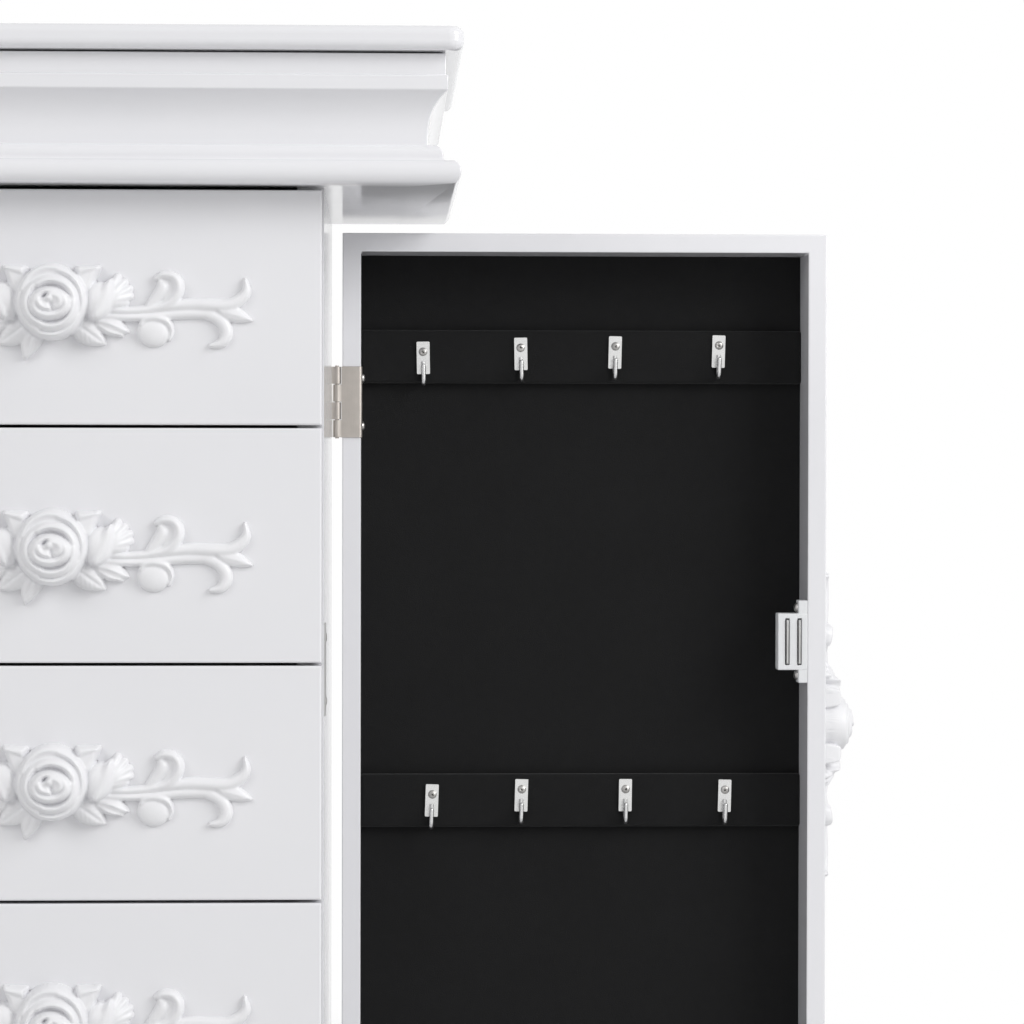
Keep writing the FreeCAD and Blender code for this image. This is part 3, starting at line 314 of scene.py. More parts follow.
# %% Metals
def metal_look(low, high, stretch, gloss, depth):
    """Plated steel: a fine brush pattern along one way, and cloudy plating."""
    def build(tree):
        brush = noise(tree, place_on(tree, stretch), 1.0, 2.0, 0.6)
        clouds = noise(tree, place_on(tree), 140.0, 3.0)
        return {
            "Base Color": between(tree, clouds * 0.6 + brush * 0.4, low, high),
            "Roughness": gloss + brush * 0.14 + clouds * 0.08,
            "Normal": bump(tree, brush, depth),
        }
    return build


hinge_steel = material("hinge_nickel", metal_look((0.38, 0.35, 0.32, 1.0), (0.56, 0.52, 0.48, 1.0),
                                                  (2600, 2600, 90), 0.24, 0.00002), Metallic=1.0)
hook_nickel = material("hook_nickel", metal_look((0.62, 0.62, 0.62, 1.0), (0.82, 0.82, 0.81, 1.0),
                                                 (1500, 1500, 1500), 0.16, 0.00002), Metallic=1.0)
plate_steel = material("plate_zinc", metal_look((0.42, 0.42, 0.42, 1.0), (0.60, 0.60, 0.59, 1.0),
                                                (1800, 1800, 120), 0.28, 0.00002), Metallic=1.0)
screw_steel = material("screw_zinc", metal_look((0.36, 0.35, 0.34, 1.0), (0.58, 0.57, 0.55, 1.0),
                                                (1500, 1500, 1500), 0.26, 0.00002), Metallic=1.0)


# %% Plastic and mirror
def plastic_look(tree):
    grain = noise(tree, place_on(tree), 1600.0, 2.0)
    return {
        "Base Color": between(tree, grain, (0.74, 0.75, 0.76, 1.0), (0.80, 0.81, 0.82, 1.0)),
        "Roughness": 0.36 + grain * 0.12,
        "Normal": bump(tree, grain, 0.00004),
    }


def mirror_look(tree):
    place = place_on(tree)
    waves = noise(tree, place, 9.0, 1.0)
    dust = noise(tree, place, 260.0, 4.0, 0.7)
    return {
        "Base Color": between(tree, dust, (0.86, 0.88, 0.87, 1.0), (0.91, 0.92, 0.92, 1.0)),
        "Roughness": dust * dust * 0.07,
        "Normal": bump(tree, waves, 0.0001),
    }


catch_plastic = material("catch_plastic", plastic_look)
mirror_glass = material("mirror_glass", mirror_look, Metallic=1.0)
FINISHES = {
    "lacquer": lacquer, "carving_lacquer": carving_lacquer, "back_board": hardboard, "felt": felt,
    "drawer_wood": drawer_wood, "runner_wood": runner_wood, "hinge_steel": hinge_steel,
    "plate_steel": plate_steel, "screw_steel": screw_steel, "hook_nickel": hook_nickel,
    "catch_plastic": catch_plastic, "mirror_glass": mirror_glass,
}
print(len(FINISHES), "finishes")

# %% [markdown]
# ## Dressing the frame
# The record says which finish each piece of the frame has, so one loop puts the new
# materials in the slots of the pieces that stay.

# %% Materials on the frame's own pieces
FINISH_OF = {part["node"]: part["material_slot"] for part in frame["record"]["subparts"]}
for name, finish in FINISH_OF.items():
    for place in frame["nodes"][name].material_slots:
        place.material = FINISHES[finish]
print(len(FINISH_OF), "frame pieces dressed")

# %% [markdown]
# ## Making a piece
# Most pieces below are meshes written point by point. They share one ending: the mesh gets
# its finish, soft shading that breaks at real edges, and the body that it moves with, and the
# pieces of the frame that it stands for are hidden. A painted board never has a knife edge,
# so a bevel of half a millimetre or more catches the light along every arris.

# %% The ending that every piece shares
SHARP_ANGLE = math.radians(38)


def mesh_of(name, points, faces):
    """A mesh with its faces turned outwards."""
    mesh = bpy.data.meshes.new(name)
    mesh.from_pydata([tuple(point) for point in points], [], faces)
    shape = bmesh.new()
    shape.from_mesh(mesh)
    bmesh.ops.recalc_face_normals(shape, faces=shape.faces)
    shape.to_mesh(mesh)
    shape.free()
    return mesh


def soften(piece, width, segments=3):
    """Rounds every sharp edge, as paint and sanding do."""
    bevel = piece.modifiers.new("soft_edges", "BEVEL")
    bevel.width = width
    bevel.segments = segments
    bevel.limit_method = "ANGLE"
    bevel.angle_limit = SHARP_ANGLE
    bevel.harden_normals = False


def piece_of(mesh, body, stands_for, finish=None):
    """Puts a finished mesh on its body, with a finish, in place of pieces of the frame."""
    slot = finish or FINISH_OF[stands_for[0]]
    mesh.materials.clear()
    mesh.materials.append(FINISHES[slot])
    mesh.shade_smooth()
    mesh.set_sharp_from_angle(angle=SHARP_ANGLE)
    piece = bpy.data.objects.new(mesh.name, mesh)
    bpy.context.scene.collection.objects.link(piece)
    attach(piece, body)
    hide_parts(*stands_for)
    return piece


# %% [markdown]
# ## The crown and the base moulding
# The crown is one moulding mitred round three sides: a flat fascia under the lid, a deep
# cove, a shoulder and a drip bead. It could be a curve swept along a path, but a sweep
# narrows a section at a square corner. Here the section is written once, as lines and arcs
# of outward and upward distances, and set out at four stations, the two rear ends and the
# two mitres, where both sides share their points. The base moulding is made the same way.

# %% Sections of lines and arcs
ARC_STEPS = 10


def arc(start, middle, end, steps=ARC_STEPS):
    """Points on the arc through three points, without its first."""
    (ax, ay), (bx, by), (cx, cy) = start, middle, end
    spread = 2 * (ax * (by - cy) + bx * (cy - ay) + cx * (ay - by))
    a, b, c = (x**2 + y**2 for x, y in (start, middle, end))
    centre_x = (a * (by - cy) + b * (cy - ay) + c * (ay - by)) / spread
    centre_y = (a * (cx - bx) + b * (ax - cx) + c * (bx - ax)) / spread
    first, last = (math.atan2(y - centre_y, x - centre_x) for x, y in (start, end))
    turn = 1 if ((bx - ax) * (cy - ay) - (by - ay) * (cx - ax)) > 0 else -1
    sweep = ((last - first) * turn) % (2 * math.pi) * turn
    radius = math.hypot(ax - centre_x, ay - centre_y)
    return [(centre_x + radius * math.cos(first + sweep * i / steps),
             centre_y + radius * math.sin(first + sweep * i / steps)) for i in range(1, steps + 1)]


CROWN_LOW, CROWN_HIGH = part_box("front_crown_moulding")
CROWN_RISE = CROWN_HIGH.z - CROWN_LOW.z
CROWN_THICKNESS = 33.0 * MM
BEAD_SETBACK, BEAD_BULGE, BEAD_HEIGHT = 4.4 * MM, 3.7 * MM, 12.6 * MM
SHOULDER_SETBACK, SHOULDER_HEIGHT, SHOULDER_ROUND = 10.5 * MM, 9.0 * MM, 3.8 * MM
SHOULDER_FILLET, FILLET_STEPS = 2.2 * MM, 4
WAIST_SETBACK, WAIST_TOP, COVE_TOP = 19.0 * MM, 29.0 * MM, 52.0 * MM
FASCIA_SETBACK, FASCIA_STEP, FASCIA_STEP_DROP = 8.0 * MM, 1.2 * MM, 12.0 * MM


def crown_section():
    """Outward and upward distances, from the lower inner corner round to the upper one."""
    shoulder_top = BEAD_HEIGHT + SHOULDER_HEIGHT
    shoulder_in = -SHOULDER_SETBACK - SHOULDER_ROUND
    cove_mid = (-WAIST_SETBACK + (WAIST_SETBACK - FASCIA_SETBACK) * 0.3,
                WAIST_TOP + (COVE_TOP - WAIST_TOP) * 0.6)
    step = CROWN_RISE - FASCIA_STEP_DROP
    points = [(-CROWN_THICKNESS, 0), (-BEAD_SETBACK, 0)]
    points += arc(points[-1], (-BEAD_SETBACK + BEAD_BULGE, BEAD_HEIGHT / 2), (-BEAD_SETBACK, BEAD_HEIGHT))
    fillet_out, fillet_top = -SHOULDER_SETBACK + SHOULDER_FILLET, BEAD_HEIGHT + SHOULDER_FILLET
    turn_in = math.sqrt(0.5) * SHOULDER_FILLET
    points += [(fillet_out, BEAD_HEIGHT)]
    points += arc(points[-1], (fillet_out - turn_in, fillet_top - turn_in),
                  (-SHOULDER_SETBACK, fillet_top), FILLET_STEPS)
    swell = (-SHOULDER_SETBACK - SHOULDER_ROUND * 0.2, BEAD_HEIGHT + SHOULDER_HEIGHT * 0.68)
    points += arc(points[-1], swell, (shoulder_in, shoulder_top))
    points += [(-WAIST_SETBACK, shoulder_top), (-WAIST_SETBACK, WAIST_TOP)]
    points += arc(points[-1], cove_mid, (-FASCIA_SETBACK, COVE_TOP), 2 * ARC_STEPS)
    points += [(-FASCIA_SETBACK, step), (-FASCIA_SETBACK - FASCIA_STEP, step),
               (-FASCIA_SETBACK - FASCIA_STEP, CROWN_RISE), (-CROWN_THICKNESS, CROWN_RISE)]
    return points


# %% A section set out round three sides
def three_sided(name, section, half, front, back, bottom):
    """A moulding from the left rear end round both front mitres to the right rear end."""
    stations = [
        [(-half - out, back, bottom + up) for out, up in section],
        [(-half - out, front - out, bottom + up) for out, up in section],
        [(half + out, front - out, bottom + up) for out, up in section],
        [(half + out, back, bottom + up) for out, up in section],
    ]
    count = len(section)
    points = [point for station in stations for point in station]
    faces = [list(range(count)), list(range(3 * count, 4 * count))]
    for s in range(3):
        for i in range(count):
            j = (i + 1) % count
            faces.append((s * count + i, s * count + j, (s + 1) * count + j, (s + 1) * count + i))
    return mesh_of(name, points, faces)


CABINET_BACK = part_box("right_crown_moulding")[1].y
crown = piece_of(three_sided("crown_moulding", crown_section(), CROWN_HIGH.x, CROWN_LOW.y,
                             CABINET_BACK, CROWN_LOW.z), "cabinet",
                 ["front_crown_moulding", "left_crown_moulding", "right_crown_moulding"])
soften(crown, 0.7 * MM)
print("crown section", len(crown_section()), "points")

# %% Base moulding and its plain rear rail
BASE_LOW, BASE_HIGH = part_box("base_mouldings")
BASE_THICKNESS = 28.0 * MM
BASE_STEP, BASE_ROUND = 2.0 * MM, 8.0 * MM
REAR_RAIL = 15.0 * MM


def base_section():
    """The base moulding's section: a plain face, a small step and a round."""
    top = BASE_HIGH.z - BASE_LOW.z
    foot = top - BASE_ROUND - BASE_STEP
    bulge = math.sqrt(0.5) * BASE_ROUND
    points = [(-BASE_THICKNESS, 0), (0, 0), (0, foot), (-BASE_STEP, foot), (-BASE_STEP, foot + BASE_STEP)]
    points += arc(points[-1], (-BASE_STEP - BASE_ROUND + bulge, foot + BASE_STEP + bulge),
                  (-BASE_STEP - BASE_ROUND, top))
    return points + [(-BASE_THICKNESS, top)]


def box_mesh(name, low, high):
    """A plain block, which other shapes are joined to."""
    corners = [(x, y, z) for x in (low[0], high[0]) for y in (low[1], high[1]) for z in (low[2], high[2])]
    faces = [(0, 1, 3, 2), (4, 6, 7, 5), (0, 4, 5, 1), (2, 3, 7, 6), (0, 2, 6, 4), (1, 5, 7, 3)]
    return mesh_of(name, corners, faces)


def joined(name, meshes):
    """Several meshes as one."""
    shape = bmesh.new()
    for mesh in meshes:
        shape.from_mesh(mesh)
    whole = bpy.data.meshes.new(name)
    shape.to_mesh(whole)
    shape.free()
    return whole


base_rail = box_mesh("base_rail", (BASE_LOW.x + BASE_THICKNESS, CABINET_BACK - REAR_RAIL, BASE_LOW.z),
                     (BASE_HIGH.x - BASE_THICKNESS, CABINET_BACK, BASE_HIGH.z))
base_run = three_sided("base_run", base_section(), BASE_HIGH.x, BASE_LOW.y, CABINET_BACK, BASE_LOW.z)
base = piece_of(joined("base_moulding", [base_run, base_rail]), "cabinet", ["base_mouldings"])
soften(base, 0.8 * MM)
print("base moulding", len(base.data.polygons), "faces")

# %% [markdown]
# ## The feet
# Each foot is a short cabriole leg: a round knee under a square block, a narrow ankle and a
# pad that turns out to the corner. It is turned and carved from one block, so the mesh is a
# stack of rings whose radius and offset run smoothly from knee to pad.

# %% Cabriole feet
FOOT_HEIGHT = BASE_LOW.z
FOOT_BLOCK = 46.0 * MM
FOOT_SPLAY = 8.0 * MM
FOOT_LEVELS = (0.0, 0.03, 0.08, 0.24, 0.52, 0.84, 1.0)
FOOT_RADII = (12.4 * MM, 14.6 * MM, 15.0 * MM, 10.5 * MM, 17.2 * MM, 24.0 * MM, 22.0 * MM)
FOOT_LEANS = (1.0, 1.0, 1.0, 0.2, 0.1, 0.5, 0.0)
FOOT_RINGS, FOOT_SIDES = 40, 40


def eased(x, places, values):
    """A smooth curve through values at places: cubic, with slopes that never overshoot."""
    places, values = np.array(places), np.array(values)
    steps = np.diff(values) / np.diff(places)
    slopes = np.concatenate(([0.0], np.where(steps[:-1] * steps[1:] > 0,
                                             2 * steps[:-1] * steps[1:] / (steps[:-1] + steps[1:] + 1e-12),
                                             0.0), [0.0]))
    i = np.clip(np.searchsorted(places, x) - 1, 0, len(steps) - 1)
    width = places[i + 1] - places[i]
    t = (x - places[i]) / width
    return (values[i] * (1 + 2 * t) * (1 - t)**2 + values[i + 1] * t * t * (3 - 2 * t)
            + width * (slopes[i] * t * (1 - t)**2 - slopes[i + 1] * t * t * (1 - t)))


def foot_mesh(name, x, y, out_x, out_y):
    """A foot whose knee is under (x, y) and whose pad leans towards (out_x, out_y)."""
    points, faces = [], []
    for ring in range(FOOT_RINGS + 1):
        share = ring / FOOT_RINGS
        radius = eased(share, FOOT_LEVELS, FOOT_RADII)
        lean = eased(share, FOOT_LEVELS, FOOT_LEANS) * FOOT_SPLAY * math.sqrt(0.5)
        for side in range(FOOT_SIDES):
            angle = 2 * math.pi * side / FOOT_SIDES
            points.append((x + lean * out_x + radius * math.cos(angle),
                           y + lean * out_y + radius * math.sin(angle), share * FOOT_HEIGHT))
    for ring in range(FOOT_RINGS):
        for side in range(FOOT_SIDES):
            a, b = ring * FOOT_SIDES + side, ring * FOOT_SIDES + (side + 1) % FOOT_SIDES
            faces.append((a, b, b + FOOT_SIDES, a + FOOT_SIDES))
    faces += [list(range(FOOT_SIDES)), list(range(FOOT_RINGS * FOOT_SIDES, (FOOT_RINGS + 1) * FOOT_SIDES))]
    half = FOOT_BLOCK / 2
    block = box_mesh(name + "_block", (x - half, y - half, FOOT_HEIGHT),
                     (x + half, y + half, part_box("base_board")[0].z))
    return joined(name, [mesh_of(name + "_leg", points, faces), block])


foot_x = BASE_HIGH.x - BASE_THICKNESS - FOOT_BLOCK / 2
foot_front = BASE_LOW.y + BASE_THICKNESS + FOOT_BLOCK / 2
foot_back = CABINET_BACK - REAR_RAIL - FOOT_BLOCK / 2
feet = piece_of(joined("cabriole_feet", [
    foot_mesh("foot", side * foot_x, y, side, out_y)
    for side in (-1, 1) for y, out_y in ((foot_front, -1), (foot_back, 1))]), "cabinet", ["feet"])
soften(feet, 0.6 * MM)
print("feet", [round(v, 3) for v in (foot_x, foot_front, foot_back)])

# %% [markdown]
# ## The carved rose
# Every drawer carries one cast carving: a full rose in the middle, and on each side a bud,
# leaves, a berry and two scrolled stems, with one more leaf under the rose on the left. A
# casting leaves its mould, so nothing in it is undercut, and that makes it a relief: one
# height over each point of the board. The relief is the highest of many simple forms, each
# a formula in millimetres from the rose's heart, u to the right and w up. Every form gives
# two things at a point, how far inside its outline the point lies and how high it stands.

# %% The plan of the relief
CARVING_U, CARVING_DOWN, CARVING_UP = 119.0, 38.5, 21.5
CARVING_STEP = 0.5
CARVING_FOOT = 0.3
plan_u, plan_w = np.meshgrid(np.arange(-CARVING_U, CARVING_U + CARVING_STEP / 2, CARVING_STEP),
                             np.arange(-CARVING_DOWN, CARVING_UP + CARVING_STEP / 2, CARVING_STEP),
                             indexing="ij")
FAR_OUTSIDE = -50.0


def dome(share):
    """Height of a round form, 0 at its outline and 1 at its middle, for a share inside of 0 to 1."""
    return np.sqrt(np.clip(1 - (1 - np.clip(share, 0, 1))**2, 0, 1))


def higher(first, second):
    """Two forms as one: the outline of both and the higher surface."""
    inside = np.maximum(first[0], second[0])
    height = np.maximum(np.where(first[0] > 0, first[1], 0), np.where(second[0] > 0, second[1], 0))
    return inside, height


def all_of(forms):
    """Many forms as one."""
    whole = (np.full(plan_u.shape, FAR_OUTSIDE), np.zeros(plan_u.shape))
    for form in forms:
        whole = higher(whole, form)
    return whole


# %% Berries, buds and other round forms
def oval(u, w, wide, tall, degrees, base, relief):
    """An egg on a low base, its long axis turned by some degrees."""
    angle = math.radians(degrees)
    along = (plan_u - u) * math.cos(angle) + (plan_w - w) * math.sin(angle)
    across = (plan_w - w) * math.cos(angle) - (plan_u - u) * math.sin(angle)
    reach = np.sqrt((along / wide)**2 + (across / tall)**2)
    return (1 - reach) * min(wide, tall), base * dome((1 - reach) * 4) + relief * dome(1 - reach)


# %% Stems: round bars that follow a smooth curve and taper
def smooth_path(points, steps=14):
    """A smooth curve through a few points; every number of a point runs smoothly."""
    rows = np.array(points, float)
    ends = np.vstack([2 * rows[0] - rows[1], rows, 2 * rows[-1] - rows[-2]])
    path = []
    for i in range(1, len(ends) - 2):
        a, b, c, d = ends[i - 1:i + 3]
        for step in range(steps):
            t = step / steps
            path.append(0.5 * (2 * b + (c - a) * t + (2 * a - 5 * b + 4 * c - d) * t**2
                               + (3 * b - a - 3 * c + d) * t**3))
    return np.array(path + [rows[-1]])


def stem(*points):
    """Each point is u, w, half width and height."""
    inside = np.full(plan_u.shape, FAR_OUTSIDE)
    height = np.zeros(plan_u.shape)
    for u, w, radius, rise in smooth_path(points):
        reach = np.hypot(plan_u - u, plan_w - w) / radius
        inside = np.maximum(inside, (1 - reach) * radius)
        height = np.maximum(height, rise * dome(1 - reach) * (reach < 1))
    return inside, height


# %% Leaves with a vein and side veins
def blade(u, w, length, width, degrees, relief, vein, droop, bend):
    """A leaf from its stalk at (u, w) out along an angle, bending by bend of its length."""
    angle = math.radians(degrees)
    along = ((plan_u - u) * math.cos(angle) + (plan_w - w) * math.sin(angle)) / length
    across = (plan_w - w) * math.cos(angle) - (plan_u - u) * math.sin(angle)
    across = across - bend * length * along * (1 - along)
    s = np.clip(along, 0, 1)
    half = width / 2 * np.sin(math.pi * s**0.82)**0.8
    inside = np.where((along > 0) & (along < 1), half - np.abs(across),
                      -np.maximum(np.abs(along - 0.5) - 0.5, 0) * length - np.abs(across))
    share = np.abs(across) / np.maximum(half, 0.2)
    face = 0.62 + 0.38 * dome(1 - share) - 0.25 * share**2
    groove = vein * np.exp(-(across / 0.75)**2)
    ribs = 0.16 * min(vein, 1.0) * np.sin((s * length - np.abs(across) * 0.9) * 1.9) * (share > 0.12)
    height = relief * face * (1 - droop * s**2) + ribs - groove
    return inside, np.maximum(height, 0.6) * dome(inside / 1.1)


# %% Petals: scallops about the heart, each leaning over its neighbour
def petal(degrees, spread, wide, tall, rise, roll, scoop, drop, lean=1.0):
    """Highest along its oval lip, rolled over outside it and scooped out inside it."""
    u, w = plan_u - 0.3, plan_w - drop
    reach = np.hypot(u / wide, w / tall)
    size = math.sqrt(wide * tall)
    t = ((np.degrees(np.arctan2(w, u)) - degrees + 180) % 360 - 180) / spread
    beyond = (reach - 1 + 0.06 * t**2) * size
    top = rise - 1.1 * t**2 + lean * t
    outer = top * dome(1 - np.clip(beyond, 0, None) / roll)
    inner = top - scoop * (1 - np.exp(np.minimum(beyond + 0.9, 0) / 0.9))
    height = np.where(beyond > 0, outer, inner)
    side = (1 - np.abs(t)) * math.radians(spread) * np.maximum(reach * size, 3.0)
    inside = np.minimum(roll - beyond, side)
    return inside, height * dome(side / 1.2)**0.6


def rose():
    """Four rings of petals round a rolled heart, each ring higher than the one outside it."""
    forms = [petal(angle, 66, 17.8, 18.8, 16.0, 2.8, scoop, -0.9)
             for angle, scoop in ((14, 3.6), (98, 1.6), (186, 3.0), (272, 4.4))]
    forms += [petal(angle, 84, 13.4, 12.8, 19.0, 4.8, 5.5, -2.0) for angle in (48, 168, 290)]
    forms += [petal(angle, 88, 9.0, 6.7, 21.4, 4.6, 2.8, -2.4, 0.7) for angle in (95, 215, 335)]
    forms += [petal(angle, 100, 6.4, 4.3, 22.3, 2.6, 1.6, -1.3, 0.5) for angle in (30, 190)]
    core_r = np.hypot(plan_u + 0.2, plan_w - 0.9)
    forms.append((3.2 - core_r, 23.0 * dome((3.2 - core_r) / 2.4)**0.4))
    return forms


def heart_slit():
    """How deep the rolled petal in the heart is open, left of its middle."""
    along = (plan_u + 2.7) * 0.82 + (plan_w - 1.9) * 0.57
    across = (plan_w - 1.9) * 0.82 - (plan_u + 2.7) * 0.57
    return 6.0 * np.exp(-(along / 2.4)**2 - (across / 0.8)**2)


# %% A flat petal with straight sides
def flake(corners, relief, edge):
    """A convex outline given anticlockwise, its height rounded within a distance of its sides."""
    inside = np.full(plan_u.shape, 99.0)
    for (u0, w0), (u1, w1) in zip(corners, corners[1:] + corners[:1]):
        length = math.hypot(u1 - u0, w1 - w0)
        away = ((u1 - u0) * (plan_w - w0) - (w1 - w0) * (plan_u - u0)) / length
        inside = np.minimum(inside, away)
    return inside, relief * dome(inside / edge)


# %% A bud of closed petals, and the petal that has opened behind it
def bud():
    """An egg of petals, a rolled-back petal on its left and a low fringe on its right."""
    forms = [
        oval(25.4, -0.6, 11.4, 7.6, 76, 4.0, 8.6),
        blade(24.0, -11.0, 25.0, 13.0, 69, 13.4, vein=0.0, droop=0.12, bend=-0.10),
        flake([(15.5, -3.0), (23.0, 6.0), (27.6, 18.6), (26.4, 19.6), (13.6, 19.2), (12.6, 17.6)],
              10.4, 3.4),
        flake([(14.0, 12.0), (27.0, 16.4), (26.8, 19.6), (13.4, 19.2)], 11.6, 2.2),
    ]
    fringe = ((36.4, 12.8), (40.0, 10.0), (42.6, 6.4), (43.0, 2.4), (40.4, -1.2))
    forms += [stem((29.0, -4.0, 3.2, 8.4), ((29.0 + u) / 2, (w - 4.0) / 2 + 1.0, 3.3, 8.6),
                   (u, w, 2.4, 4.4)) for u, w in fringe]
    return forms


# %% What grows on the right of the rose
def right_spray():
    """The bud, two leaves, two long stems with hooks, a curl, a tip leaf and a berry in a tendril."""
    forms = bud()
    forms += [
        blade(10.5, -10.0, 24.5, 15.5, -37, 6.4, vein=1.1, droop=0.30, bend=-0.04),
        blade(24.0, -10.5, 20.5, 11.5, -20, 6.2, vein=0.0, droop=0.25, bend=-0.10),
        stem((26.0, -11.6, 1.2, 6.6), (33.5, -13.6, 1.5, 7.2), (41.5, -17.2, 1.0, 5.4)),
        stem((25.5, -14.0, 1.2, 6.0), (32.0, -17.6, 1.4, 6.6), (39.0, -19.6, 0.9, 5.0)),
        stem((30.0, -8.8, 2.4, 5.8), (40.0, -9.4, 2.4, 5.0), (50.0, -9.2, 2.5, 4.2), (62.0, -8.3, 2.7, 3.6),
             (76.0, -7.2, 3.2, 3.4), (88.0, -7.0, 3.3, 3.2)),
        stem((31.0, -5.2, 2.4, 6.0), (40.0, -5.8, 2.4, 5.2), (48.0, -5.4, 2.5, 4.6), (58.0, -4.4, 2.8, 4.2),
             (66.0, -3.0, 3.2, 4.2), (77.0, -2.2, 3.7, 4.2), (88.0, -2.5, 3.7, 4.8), (97.5, -2.4, 3.8, 4.6),
             (104.0, 0.6, 3.6, 4.2), (107.6, 5.6, 2.7, 4.0), (107.0, 12.0, 1.2, 3.4)),
        stem((52.0, -5.0, 2.2, 4.2), (60.0, -3.6, 2.8, 4.8), (66.0, -0.6, 3.1, 5.4), (69.8, 4.6, 3.2, 6.0),
             (70.0, 10.0, 3.1, 6.2), (66.8, 13.6, 2.8, 6.0), (61.6, 14.2, 2.5, 5.2), (57.6, 12.4, 1.6, 4.0)),
        stem((54.0, -3.0, 2.8, 3.8), (58.4, 2.2, 3.8, 4.4), (61.4, 7.0, 4.0, 4.8), (60.6, 10.2, 2.6, 4.0)),
        oval(64.4, 5.6, 6.6, 7.6, 20, 2.2, 0.8),
        stem((84.0, -6.8, 3.3, 3.2), (91.0, -9.6, 3.6, 3.4), (95.6, -14.2, 3.9, 3.6), (96.4, -19.4, 3.7, 3.6),
             (93.4, -23.6, 2.9, 3.4), (87.6, -25.0, 1.4, 3.0)),
        blade(91.0, -4.6, 21.5, 9.0, -18, 3.8, vein=0.0, droop=0.2, bend=0.05),
        stem((97.0, -6.8, 1.0, 4.2), (103.5, -8.4, 1.1, 4.2), (110.0, -11.0, 0.6, 3.2)),
        oval(56.2, -17.8, 9.3, 8.3, 0, 0.6, 3.8),
        stem((48.8, -13.4, 1.3, 3.8), (52.0, -10.2, 1.9, 4.4), (58.4, -9.6, 2.5, 4.8),
             (64.2, -12.0, 2.0, 4.4), (66.4, -17.0, 1.2, 3.6), (65.0, -22.0, 0.8, 2.8)),
    ]
    return forms


# %% The whole relief
PAINT_PASSES = 5


def mirrored(form):
    """The same form on the other side of the rose."""
    return form[0][::-1], form[1][::-1]


def blurred(height, inside, passes):
    """Paint softens a carving: each pass mixes a point with its four neighbours."""
    for _ in range(passes):
        padded = np.pad(height, 1, mode="edge")
        around = (padded[:-2, 1:-1] + padded[2:, 1:-1] + padded[1:-1, :-2] + padded[1:-1, 2:]) / 4
        height = np.where(inside > 0, 0.5 * height + 0.5 * around, height)
    return height


spray = all_of(right_spray())
lone_leaf = blade(-8.0, -10.0, 24.5, 12.5, -108, 5.8, vein=1.0, droop=0.3, bend=0.06)
relief_inside, relief_height = all_of(rose() + [spray, mirrored(spray), lone_leaf])
relief_sharp = np.where(relief_inside > 0, relief_height - heart_slit(), 0.0)
relief_height = blurred(relief_sharp, relief_inside, PAINT_PASSES)
print("relief", relief_height.shape, "highest", round(float(relief_height.max()), 1), "mm")


# %% From the relief to a mesh
CREASE_PASSES, CREASE_DEPTH = 14, 1.6


def carving_parts():
    """Points (u, w, height) and faces of the relief, and how far each point lies below its surroundings, the mask
    of the painted shade in the creases.
    """
    keep = relief_inside > 0
    near = keep.copy()
    for du, dw in ((1, 0), (-1, 0), (0, 1), (0, -1), (1, 1), (-1, -1), (1, -1), (-1, 1)):
        near |= np.roll(keep, (du, dw), (0, 1))
    slope_u, slope_w = np.gradient(relief_inside, CARVING_STEP)
    steep = np.maximum(slope_u**2 + slope_w**2, 0.2)
    shift = np.where(keep, 0.0, -relief_inside / steep)
    length = np.hypot(shift * slope_u, shift * slope_w)
    shift = shift * np.minimum(1.0, CARVING_STEP * 0.95 / np.maximum(length, 1e-9))
    u = plan_u + shift * slope_u
    w = plan_w + shift * slope_w
    height = np.where(keep, relief_height, 0.0)
    cell = keep[:-1, :-1] | keep[1:, :-1] | keep[1:, 1:] | keep[:-1, 1:]
    index = np.full(keep.shape, -1)
    used = np.zeros(keep.shape, bool)
    for du, dw in ((0, 0), (1, 0), (1, 1), (0, 1)):
        used[du:du + cell.shape[0], dw:dw + cell.shape[1]] |= cell
    index[used] = np.arange(used.sum())
    i, j = np.nonzero(cell)
    faces = np.stack([index[i, j], index[i + 1, j], index[i + 1, j + 1], index[i, j + 1]], 1)
    # How far each point lies below its surroundings, the mask of the carving's painted shade.
    around = blurred(height, np.ones(height.shape), CREASE_PASSES)
    crease = np.clip((around - height) / CREASE_DEPTH, 0, 1) * keep
    return np.stack([u[used], w[used], height[used]], 1), faces, crease[used]


carving_points, carving_faces, carving_crease_shade = carving_parts()


def closed_faces(faces, count):
    """The front faces, the same faces turned for the back, and a low wall round the outline."""
    starts = faces.ravel()
    ends = np.roll(faces, -1, axis=1).ravel()
    rim = ~np.isin(starts * count + ends, ends * count + starts)
    wall = np.stack([ends[rim], starts[rim], starts[rim] + count, ends[rim] + count], 1)
    return np.vstack([faces, faces[:, ::-1] + count, wall]).tolist()


CARVING_SHELL = closed_faces(carving_faces, len(carving_points))


def carving_mesh(name, place, scale=1.0):
    """The carving with its points put by place(u, w, height), closed by a flat back."""
    front = carving_points + (0, 0, CARVING_FOOT)
    back = carving_points * (1, 1, 0)
    points = [place(*(point * scale * MM)) for point in np.vstack([front, back])]
    mesh = bpy.data.meshes.new(name)
    mesh.from_pydata(points, [], CARVING_SHELL)
    # That depth goes on the mesh as the mask of the painted shade in the creases.
    attribute = mesh.attributes.new("crease", "FLOAT", "POINT")
    crease = np.concatenate([carving_crease_shade, np.zeros(len(back))])
    attribute.data.foreach_set("value", crease.astype(np.float32))
    shape = bmesh.new()
    shape.from_mesh(mesh)
    bmesh.ops.recalc_face_normals(shape, faces=shape.faces)
    shape.to_mesh(mesh)
    open_edges = sum(not edge.is_manifold for edge in shape.edges)
    shape.free()
    print(name, len(mesh.polygons), "faces,", open_edges, "open edges")
    return mesh


